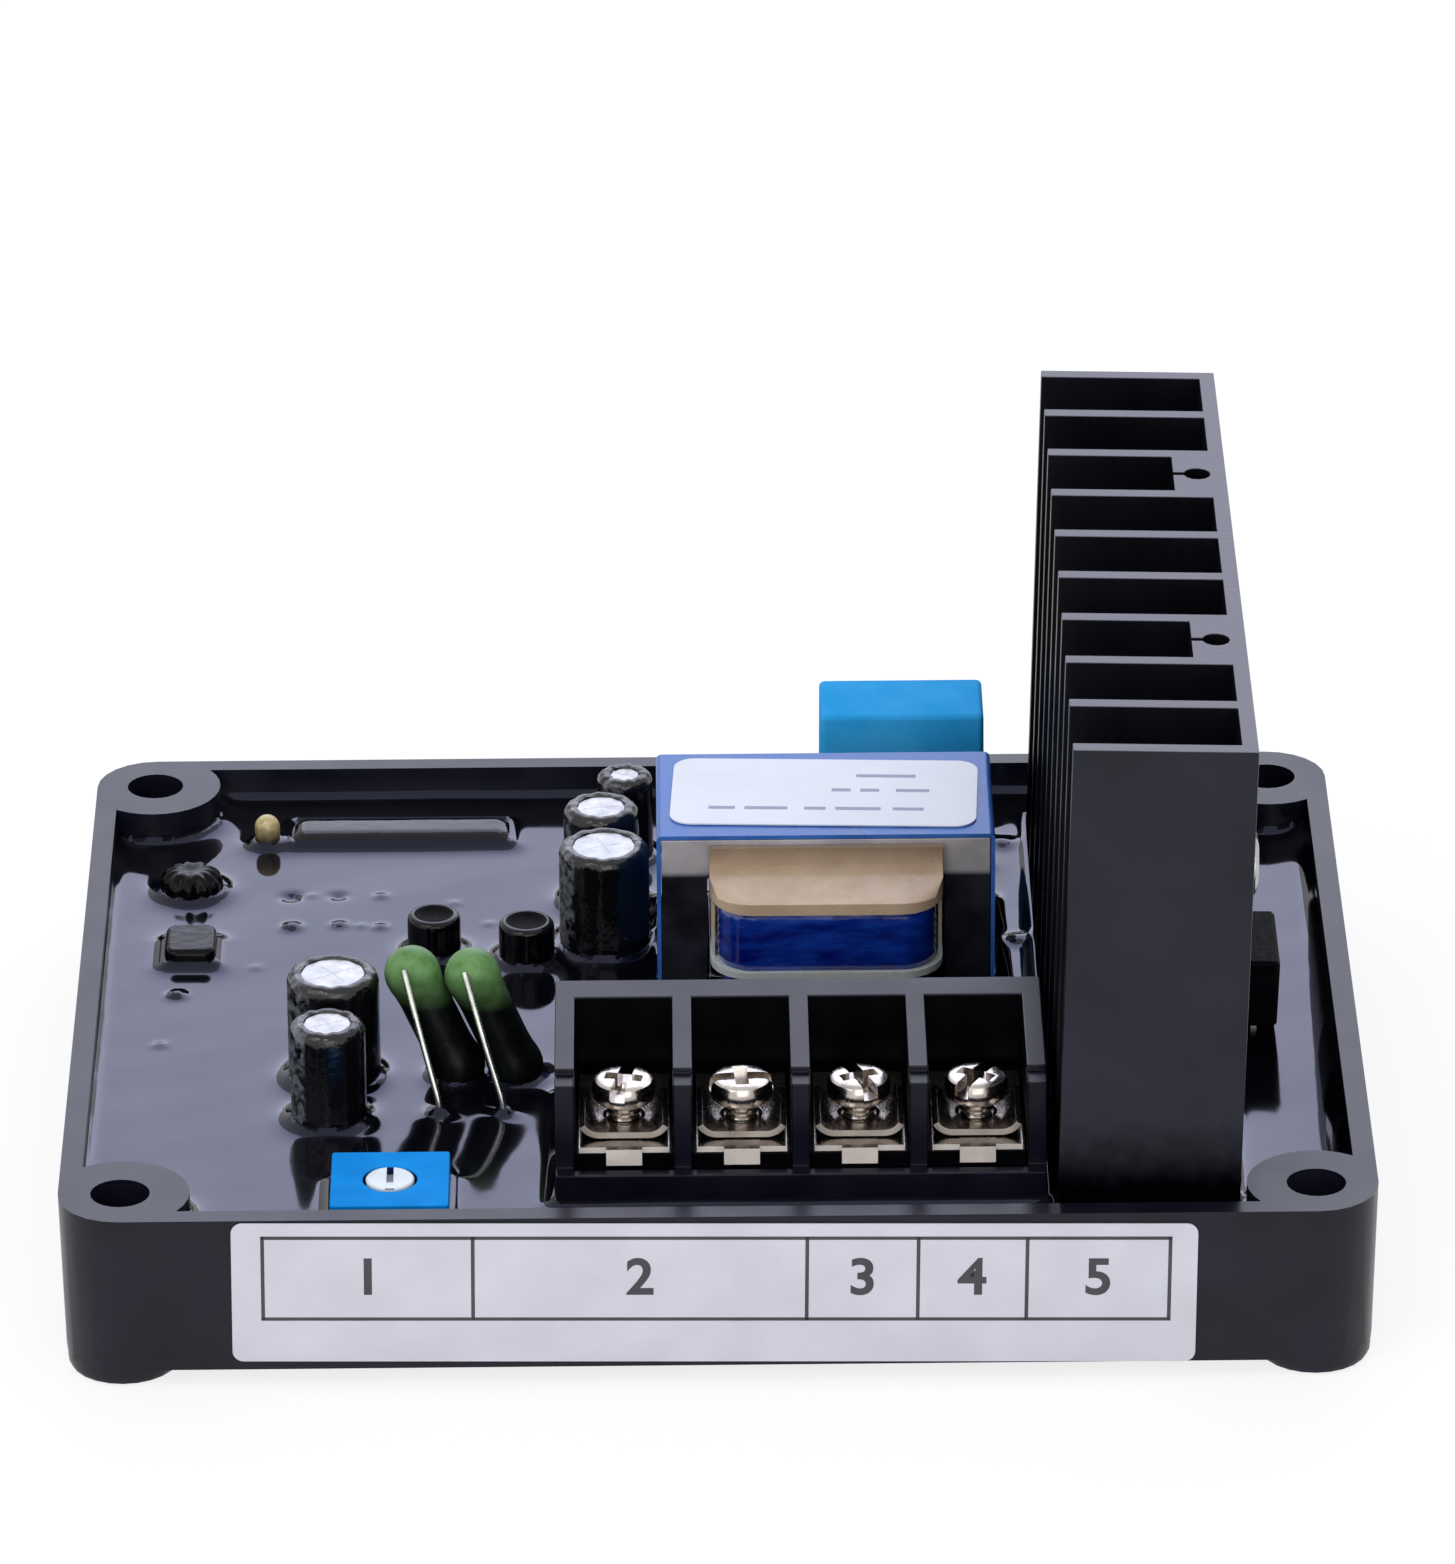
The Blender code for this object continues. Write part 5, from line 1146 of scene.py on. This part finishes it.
class REGULATOR_OT_winding(bpy.types.Operator):
    """Wind the upper coil: turn on turn under blue film"""
    bl_idname = "regulator.winding"
    bl_label = "Winding"

    rows = 14

    def execute(self, context):
        low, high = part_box("transformer_winding_upper")
        thicker = Vector((0.35, 0.3, 0.15)) * MM
        low -= thicker
        high += thicker
        middle = (low + high) / 2
        coil = block("blue_winding", low, high)
        bevel_picked(coil, upright, 2.9 * MM, 8)
        tube_x, tube_y = 4.95 * MM, 8.95 * MM
        bore = block(
            "winding_bore", (middle.x - tube_x, middle.y - tube_y, low.z - MM),
            (middle.x + tube_x, middle.y + tube_y, high.z + MM),
        )
        combine("DIFFERENCE", coil, bore)
        open_shape(coil)
        for row in range(1, self.rows):
            cut_across((0, 0, low.z + (high.z - low.z) * row / self.rows), (0, 0, 1))
        close_shape()
        self.lay_turns(coil, low, high, middle)
        finish_piece(coil, "winding_blue", "transformer_winding_upper", smooth=60)
        return {"FINISHED"}

    def lay_turns(self, coil, low, high, middle):
        """Draws every second ring of points in, so the film dips between the turns."""
        half = (high - low) / 2
        step = (high.z - low.z) / self.rows
        end_dips = (0.2 * MM, 0.05 * MM)
        for vertex in coil.data.vertices:
            away_x = abs(vertex.co.x - middle.x) / half.x
            away_y = abs(vertex.co.y - middle.y) / half.y
            if max(away_x, away_y) < 0.8:
                continue
            row = round((vertex.co.z - low.z) / step)
            dip = 0.07 * MM if row % 2 else 0.0
            from_end = min(row, self.rows - row)
            dip += end_dips[from_end] if from_end < len(end_dips) else 0.0
            vertex.co.x -= math.copysign(dip, vertex.co.x - middle.x) * (away_x > 0.8)
            vertex.co.y -= math.copysign(dip, vertex.co.y - middle.y) * (away_y > 0.8)


class REGULATOR_OT_tape(bpy.types.Operator):
    """Wrap the tape round the core, and lay the white film with its plain bars on it"""
    bl_idname = "regulator.tape"
    bl_label = "Tape"

    # The core inside the tape: its middle along X, half its width, and its top
    core_x, core_half, core_top = 0.00935, 0.0137, 25.86 * MM
    # How far the film is turned, in degrees
    label_turn = -2.4
    # Each bar's row, and where it begins and ends, in millimetres from the label's middle
    bars = (
        (3.2, 2.6, 7.6), (0.4, 0.6, 2.2), (0.4, 3.0, 4.6), (0.4, 6.0, 8.8), (-3.2, -9.6, -7.4),
        (-3.2, -6.6, -3.0), (-3.2, -1.6, 0.2), (-3.2, 1.0, 4.8), (-3.2, 5.8, 8.4),
    )
    half_bar = 0.28

    def execute(self, context):
        low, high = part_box("transformer_tape")
        tape = block("blue_tape", low, high)
        at_top = level_at(high.z)

        def top_side(edge):
            return at_top(edge) and abs(edge.verts[0].co.x - edge.verts[1].co.x) < WELD

        bevel_picked(tape, top_side, 0.5 * MM, 5)
        inner = self.core_half + 0.06 * MM
        core = block(
            "tape_inside", (self.core_x - inner, low.y - MM, low.z - MM),
            (self.core_x + inner, high.y + MM, self.core_top),
        )
        combine("DIFFERENCE", tape, core)
        finish_piece(tape, "tape_blue", "transformer_tape")
        place = set_down(
            centre_of("transformer_label"), high.z + FILM_GAP, math.radians(self.label_turn)
        )
        label = label_film(
            "film_label", half_x=12.8 * MM, half_y=6.35 * MM, corner=1.8 * MM, segments=8
        )
        lay(label, place, "film_white", "label_white", "transformer_label")
        bars = [
            block("bar", (near * MM, (row - self.half_bar) * MM, FILM),
                  (far * MM, (row + self.half_bar) * MM, FILM + 0.01 * MM))
            for row, near, far in self.bars
        ]
        lay(joined(bars, "film_label_bars"), place, "faint_ink", "package_black")
        return {"FINISHED"}


# Other board parts

class REGULATOR_OT_box_capacitor(bpy.types.Operator):
    """Model the blue box capacitor"""
    bl_idname = "regulator.box_capacitor"
    bl_label = "Box capacitor"

    def execute(self, context):
        box, top = board_block("blue_box", "box_capacitor")
        taper = (0.985, 0.975, 1)
        open_shape(box)
        pick(box, "faces", lambda face: face.normal.z > 0.9)
        bpy.ops.transform.resize(value=taper, center_override=centre_of("box_capacitor"))
        close_shape()
        bevel_picked(box, upright, 0.5 * MM, 5)
        bevel_picked(box, level_at(top), 0.45 * MM, 5)
        finish_piece(box, "box_blue", "box_capacitor")
        return {"FINISHED"}


def angle_round(vertex, middle):
    """Which way a point lies from an upright axis, and how far."""
    away = (vertex.co - middle).to_2d()
    return away, math.atan2(away.y, away.x)


def draw_in(vertex, middle, away, share):
    """Moves a point to a share of its distance from an upright axis."""
    vertex.co.x = middle.x + away.x * share
    vertex.co.y = middle.y + away.y * share


class REGULATOR_OT_electrolytics(bpy.types.Operator):
    """Model the five electrolytic capacitors: scored cans in shrunk sleeves"""
    bl_idname = "regulator.electrolytics"
    bl_label = "Electrolytics"

    # Which way each one's stripe and score look, in degrees
    stripes = {"front": 205, "second": 215, "tall": 200, "middle": 190, "rear": 240}
    stripe_half = math.radians(26)
    # The rolled lip's line: how far in, in lips, and how far down, in millimetres
    lip_line = ((1, 0.1), (0.75, 0), (0.5, 0.04), (0.26, 0.18), (0.08, 0.44), (0, 0.85))

    def execute(self, context):
        for name, turn in self.stripes.items():
            name = "capacitor_" + name
            low, high, middle, radius = measures(name + "_sleeve")
            inside = radius - 0.33 * MM
            sizes = (low.z, high.z, middle, radius, inside, math.radians(turn))
            self.can(name, *sizes)
            self.sleeve(name, *sizes)
        return {"FINISHED"}

    def can(self, name, foot, top, middle, radius, inside, turn):
        top -= 0.28 * MM
        can = turned(
            name + "_aluminium",
            ((0, top), (radius * 0.5, top), (radius * 0.7, top + 0.02 * MM),
             (inside - 0.55 * MM, top), (inside - 0.2 * MM, top - 0.16 * MM),
             (inside, top - 0.55 * MM), (inside, foot), (0, foot)),
            middle,
        )
        reach, score = radius * 0.45, 0.03 * MM
        for number, angle in enumerate((turn, turn + math.pi / 2)):
            cut = block(f"score_{number}", (-reach, -score, -0.02 * MM), (reach, score, MM))
            combine("DIFFERENCE", can, placed(cut, set_down(middle, top, angle)))
        finish_piece(can, "can_aluminium", name + "_can")

    def sleeve(self, name, foot, top, middle, radius, inside, turn):
        lip = 1.15 * MM
        under = (radius - lip - 0.1 * MM, top - 0.26 * MM)
        over = [(radius - lip * inset, top - drop * MM) for inset, drop in self.lip_line]
        sleeve = turned(
            name + "_film",
            (under, *over, (radius - 0.03 * MM, top - 1.2 * MM), (radius, top - 2.2 * MM),
             (radius, foot + 1.4 * MM), (radius - 0.25 * MM, foot), (inside + 0.03 * MM, foot),
             (inside + 0.03 * MM, top - 0.8 * MM), (inside - 0.16 * MM, top - 0.4 * MM), under),
            middle,
        )
        self.stripe(sleeve, middle, turn)
        self.wrinkle(sleeve, middle, top, turn)
        finish_piece(sleeve, "sleeve_black", name + "_sleeve")

    def stripe(self, sleeve, middle, turn):
        """Marks a stripe down one side of a sleeve, for its finish to read."""
        stripe = sleeve.data.attributes.new("stripe", "FLOAT", "POINT")
        for vertex, mark in zip(sleeve.data.vertices, stripe.data):
            _, angle = angle_round(vertex, middle)
            away = abs((angle - turn + math.pi) % math.tau - math.pi)
            mark.value = 1.0 if away < self.stripe_half else 0.0

    def wrinkle(self, sleeve, middle, top, turn):
        """Draws small folds into the rolled lip of a shrunk sleeve."""
        for vertex in sleeve.data.vertices:
            if vertex.co.z < top - 0.95 * MM:
                continue
            away, angle = angle_round(vertex, middle)
            fold = 0.5 + 0.3 * math.sin(9 * angle + turn) + 0.2 * math.sin(14 * angle - 2 * turn)
            share = 1 - 0.02 * (0.5 + 0.5 * math.sin(12 * angle + 3 * turn))
            draw_in(vertex, middle, away, share)
            vertex.co.z -= 0.12 * MM * fold


class REGULATOR_OT_small_capacitors(bpy.types.Operator):
    """Model the two short black capacitors"""
    bl_idname = "regulator.small_capacitors"
    bl_label = "Small capacitors"

    # The top's line: shares of the radius, and how far down in millimetres
    line = (
        (0, 0.3), (0.45, 0.28), (0.62, 0.12), (0.74, 0), (0.88, 0.08), (0.97, 0.28), (1, 0.6),
    )

    def execute(self, context):
        for number in (1, 2):
            _, high, middle, radius = measures(f"small_capacitor_{number}")
            profile = [(radius * out, high.z - drop * MM) for out, drop in self.line]
            profile += [(radius, PART_FOOT), (0, PART_FOOT)]
            body = turned(f"short_capacitor_{number}", profile, middle, 56)
            finish_piece(
                body, ("coated", "package_black"), f"small_capacitor_{number}",
                slot="sleeve_black", smooth=50,
            )
            crown = radius * 0.7
            paint_faces(
                body,
                lambda face: (face.center - middle).to_2d().length < crown and face.normal.z > 0.5,
            )
        return {"FINISHED"}


class REGULATOR_OT_green_resistors(bpy.types.Operator):
    """Model the two green resistors that lean back, with their bare leads"""
    bl_idname = "regulator.green_resistors"
    bl_label = "Green resistors"

    # Where each one's foot, head and lead's end stand, in millimetres
    places = (
        ((-21.3, -12.1, 13.5), (-24.9, -11.2, 21.4), (-22.66, -18.9, 12.3)),
        ((-16.5, -12.3, 13.5), (-19.95, -11.7, 21.4), (-17.42, -19.0, 12.3)),
    )

    def execute(self, context):
        for number, spots in enumerate(self.places, start=1):
            foot, head, entry = (Vector(spot) * MM for spot in spots)
            self.body(number, foot, head)
            self.lead(number, head, entry)
        return {"FINISHED"}

    def body(self, number, foot, head):
        radius = 2.3 * MM
        axis = head - foot
        half = axis.length / 2
        upper = quarter(radius, radius, half) + [
            (radius * 0.985, half - 0.6 * MM), (radius * 0.93, half - 1.3 * MM),
            (radius * 0.9, half - 2.2 * MM),
        ]
        profile = upper + [(out, -up) for out, up in upper[::-1]]
        body = turned(f"green_resistor_{number}", profile, steps=48)
        placed(body, Matrix.Translation((foot + head) / 2)
               @ axis.to_track_quat("Z", "Y").to_matrix().to_4x4())
        finish_piece(body, "green_enamel", f"wirewound_resistor_{number}", smooth=60)

    def lead(self, number, head, entry):
        """The bare wire, from the head down in front of the body into the resin."""
        start = head + Vector((-0.6, -2.545, 1.49)) * MM
        bend = entry + Vector((0, 0, 0.9)) * MM
        middle = start.lerp(bend, 0.5) - Vector((0, 0.45, 0)) * MM
        points = [start, start.lerp(middle, 0.5) - Vector((0, 0.2, 0)) * MM, middle,
                  middle.lerp(bend, 0.6), bend, entry - Vector((0, 0, 0.9)) * MM,
                  Vector((entry.x, entry.y, 6.6 * MM))]
        lead = tube(f"resistor_lead_{number}", points, 0.275 * MM)
        finish_piece(lead, "tinned", f"wirewound_resistor_{number}_lead", smooth=60)


class REGULATOR_OT_low_parts(bpy.types.Operator):
    """Model the low parts along the left and the back, wet with resin"""
    bl_idname = "regulator.low_parts"
    bl_label = "Low parts"

    def execute(self, context):
        self.slab("coated_ceramic", "ceramic_resistor", "coated", corner=2.3, edge=2.2)
        self.slab("coated_film", "coated_film_capacitor", "dull_coat", corner=1.0, edge=0.55)
        self.bead("coated_coil", "coated_choke", "dull_coat", "coated", crown=0.55, turns=11)
        self.bead("tan_bead", "upright_resistor", "tan_enamel", "tan_enamel", crown=1.0)
        return {"FINISHED"}

    def slab(self, name, node, look, corner, edge):
        """A low block, rounded at its corners and round its top by so many millimetres."""
        slab, top = board_block(name, node)
        bevel_picked(slab, upright, corner * MM, 6)
        bevel_picked(slab, level_at(top), edge * MM, 8)
        finish_piece(slab, look, node, slot="coated", smooth=50)

    def bead(self, name, node, look, slot, crown, turns=0):
        """A domed part, with the turns of its wire showing through its coat if it has any."""
        _, high, middle, radius = measures(node)
        drop = radius * crown
        dome = quarter(radius, drop, high.z - drop)
        bead = turned(name, dome + [(radius, PART_FOOT), (0, PART_FOOT)], middle, 88)
        if turns:
            self.wind(bead, middle, radius, turns)
        finish_piece(bead, look, node, slot=slot, smooth=60)

    def wind(self, bead, middle, radius, turns):
        """Draws a bead in between its turns, and dips its middle."""
        dip = 0.5
        for vertex in bead.data.vertices:
            away, angle = angle_round(vertex, middle)
            share = away.length / radius
            if share < 0.02:
                vertex.co.z -= dip * MM
                continue
            groove = 0.5 - 0.5 * math.cos(turns * angle + 1.3 * math.sin(2 * angle + 0.7))
            outer = min(max(share - 0.45, 0) * 2.5, 1)
            draw_in(vertex, middle, away, 1 - (0.09 + 0.05 * math.sin(3 * angle)) * groove * outer)
            vertex.co.z -= (0.3 * groove * outer + dip * max(0.0, 1 - share * 1.7)) * MM


# Rating label

class REGULATOR_OT_rating_label(bpy.types.Operator):
    """Lay the rating label on the front wall, ruled into cells with plain numbers"""
    bl_idname = "regulator.rating_label"
    bl_label = "Rating label"

    # Where the ruled lines stand, in millimetres from the label's middle
    cells = (-36.15, -19.33, 7.41, 16.31, 25.02, 36.45)
    rows = (-2.4, 5.0)

    def execute(self, context):
        label = label_film(
            "front_label", half_x=38.65 * MM, half_y=6.3 * MM, corner=0.9 * MM, segments=6
        )
        draft = math.atan2(0.3, 13.6)
        height = 8.35 * MM
        drop = 15.2 * MM - height
        place = (
            Matrix.Translation((-0.4 * MM, -43 * MM + drop * math.tan(draft), height))
            @ (Matrix.Rotation(math.pi / 2 + draft, 4, "X")
               @ Matrix.Rotation(math.radians(-0.6), 4, "Z"))
            @ Matrix.Translation((0, 0, FILM_GAP))
        )
        ink = self.print_on(context.scene.regulator.label)
        lay(label, place, "label_white", "label_white", "rating_label")
        lay(ink, place, "label_ink", "package_black")
        return {"FINISHED"}

    def print_on(self, settings):
        """The ruled cells and their numbers, as one thin layer of ink."""
        half, ink = settings.line / 2, 0.012 * MM
        cells = [x * MM for x in self.cells]
        low, high = (row * MM for row in self.rows)

        def rule(from_x, to_x, from_y, to_y):
            return block(
                "rule", (from_x - half, from_y - half, FILM),
                (to_x + half, to_y + half, FILM + ink),
            )

        parts = [rule(cells[0], cells[-1], y, y) for y in (low, high)]
        parts += [rule(x, x, low, high) for x in cells]
        for number, (near, far) in enumerate(zip(self.cells, self.cells[1:]), start=1):
            deselect_all()
            bpy.ops.object.text_add(location=((near + far) / 2 * MM, (low + high) / 2, FILM))
            text = added("digit").data
            text.body = str(number)
            text.size = settings.digit
            text.offset = settings.digit * 0.022
            text.extrude = ink / 2
            text.align_x = "CENTER"
            text.align_y = "CENTER"
            take(bpy.context.object)
            bpy.ops.object.convert(target="MESH")
            parts.append(settle(bpy.context.object))
        return joined(parts, "label_print")


# Stage

class REGULATOR_OT_stage(bpy.types.Operator):
    """Set the floor, the soft lamps, the surrounding light and the camera"""
    bl_idname = "regulator.stage"
    bl_label = "Stage"

    def execute(self, context):
        settings = context.scene.regulator.stage
        self.floor(settings)
        self.surround(context.scene, settings)
        white = (1, 1, 1)
        # Each lamp's name, place, width, power and colour
        for lamp in (
            ("key_lamp", (-0.75, -0.75, 1.0), 0.9, settings.key, white),
            ("front_lamp", (0.15, -1.25, 0.5), 0.9, settings.front, white),
            ("spark_lamp", (-0.4, -0.55, 1.15), 0.13, settings.spark, white),
            ("back_lamp", (0.1, 1.1, 0.75), 1.0, settings.back, settings.back_tint),
        ):
            self.lamp(*lamp)
        self.camera(context.scene, settings)
        context.scene.view_settings.view_transform = "Standard"
        return {"FINISHED"}

    def seen(self, tree, *rays):
        """1 for the camera's own rays and for the other kinds that are named, or else 0."""
        path = wired(tree, "ShaderNodeLightPath")
        share = path.outputs["Is Camera Ray"]
        for ray in rays:
            larger = wired(
                tree, "ShaderNodeMath", {0: share, 1: path.outputs[ray]}, operation="MAXIMUM"
            )
            share = larger.outputs[0]
        return share

    def floor(self, settings):
        """A plain floor that keeps the shadow, and looks white to the camera and in gloss."""
        deselect_all()
        bpy.ops.mesh.primitive_plane_add(size=6)
        floor = added("floor")
        material = bpy.data.materials.new("floor")
        material.use_nodes = True
        tree = material.node_tree
        tree.nodes.clear()
        plain = wired(tree, "ShaderNodeBsdfDiffuse", {"Color": (*settings.floor, 1)})
        lit = wired(tree, "ShaderNodeBsdfDiffuse", {"Color": (0.22, 0.22, 0.22, 1)})
        glow = wired(tree, "ShaderNodeEmission", {"Color": (1, 1, 1, 1), "Strength": 0.8})
        bright = wired(tree, "ShaderNodeAddShader", {0: lit.outputs[0], 1: glow.outputs[0]})
        share = self.seen(tree, "Is Glossy Ray")
        choice = wired(
            tree, "ShaderNodeMixShader", {0: share, 1: plain.outputs[0], 2: bright.outputs[0]}
        )
        wired(tree, "ShaderNodeOutputMaterial", {"Surface": choice.outputs[0]})
        floor.data.materials.append(material)

    def surround(self, scene, settings):
        """Even light from all round, white to the camera, in gloss and through glass."""
        scene.world = bpy.data.worlds.new("surround")
        scene.world.use_nodes = True
        tree = scene.world.node_tree
        tree.nodes.clear()
        share = self.seen(tree, "Is Glossy Ray", "Is Transmission Ray")
        strength = wired(
            tree, "ShaderNodeMapRange", {"Value": share, "To Min": settings.fill, "To Max": 1.0}
        )
        light = wired(
            tree, "ShaderNodeBackground",
            {"Color": (1, 1, 1, 1), "Strength": strength.outputs["Result"]},
        )
        wired(tree, "ShaderNodeOutputWorld", {"Surface": light.outputs[0]})

    def lamp(self, name, place, size, power, tint):
        deselect_all()
        bpy.ops.object.light_add(type="AREA", location=place)
        lamp = bpy.context.object
        lamp.name = name
        lamp.data.energy = power
        lamp.data.size = size
        lamp.data.color = tint
        part = Vector((0, 0, 0.015))
        lamp.rotation_euler = (part - Vector(place)).to_track_quat("-Z", "Y").to_euler()

    def camera(self, scene, settings):
        target = Vector((1.17, 0, 33.18)) * MM
        turn = Matrix.Rotation(settings.yaw, 3, "Z")
        down, sway = settings.pitch, settings.roll
        forward = turn @ Vector((0, math.cos(down), -math.sin(down)))
        right = turn @ Vector((1, 0, 0))
        up = turn @ Vector((0, math.sin(down), math.cos(down)))
        leaning_right = math.cos(sway) * right + math.sin(sway) * up
        leaning_up = -math.sin(sway) * right + math.cos(sway) * up
        deselect_all()
        bpy.ops.object.camera_add()
        camera = bpy.context.object
        camera.name = "photo_camera"
        axes = Matrix((leaning_right, leaning_up, -forward)).transposed().to_4x4()
        camera.matrix_world = Matrix.Translation(target - forward * settings.distance) @ axes
        camera.data.sensor_width = 36
        camera.data.lens = settings.lens
        scene.camera = camera


class REGULATOR_PT_pieces(bpy.types.Panel):
    """The regulator's pieces, in the order in which they are made"""
    bl_idname = "REGULATOR_PT_pieces"
    bl_label = "Voltage regulator"
    bl_space_type = "VIEW_3D"
    bl_region_type = "UI"
    bl_category = "Regulator"

    def draw(self, context):
        for operator in OPERATORS:
            self.layout.operator(operator.bl_idname)
        for group in RegulatorSettings.__annotations__:
            owner = getattr(context.scene.regulator, group)
            for name in type(owner).__annotations__:
                self.layout.prop(owner, name)


SETTINGS = (
    TraySettings, ResinSettings, SinkSettings, TerminalSettings, LabelSettings, StageSettings,
    RegulatorSettings,
)
OPERATORS = (
    REGULATOR_OT_tray, REGULATOR_OT_hidden_parts, REGULATOR_OT_resin, REGULATOR_OT_heatsink,
    REGULATOR_OT_transistor, REGULATOR_OT_terminal_block, REGULATOR_OT_contacts,
    REGULATOR_OT_terminal_screws, REGULATOR_OT_trimmer, REGULATOR_OT_core, REGULATOR_OT_bobbin,
    REGULATOR_OT_winding, REGULATOR_OT_tape, REGULATOR_OT_box_capacitor,
    REGULATOR_OT_electrolytics, REGULATOR_OT_small_capacitors, REGULATOR_OT_green_resistors,
    REGULATOR_OT_low_parts, REGULATOR_OT_rating_label, REGULATOR_OT_stage,
)


def register():
    for part in (*SETTINGS, *OPERATORS, REGULATOR_PT_pieces):
        bpy.utils.register_class(part)
    bpy.types.Scene.regulator = PointerProperty(type=RegulatorSettings)


def unregister():
    del bpy.types.Scene.regulator
    for part in reversed((*SETTINGS, *OPERATORS, REGULATOR_PT_pieces)):
        bpy.utils.unregister_class(part)


def main():
    """Makes every piece in order."""
    register()
    for operator in OPERATORS:
        group, name = operator.bl_idname.split(".")
        getattr(getattr(bpy.ops, group), name)()
    deselect_all()


if __name__ == "__main__":
    main()
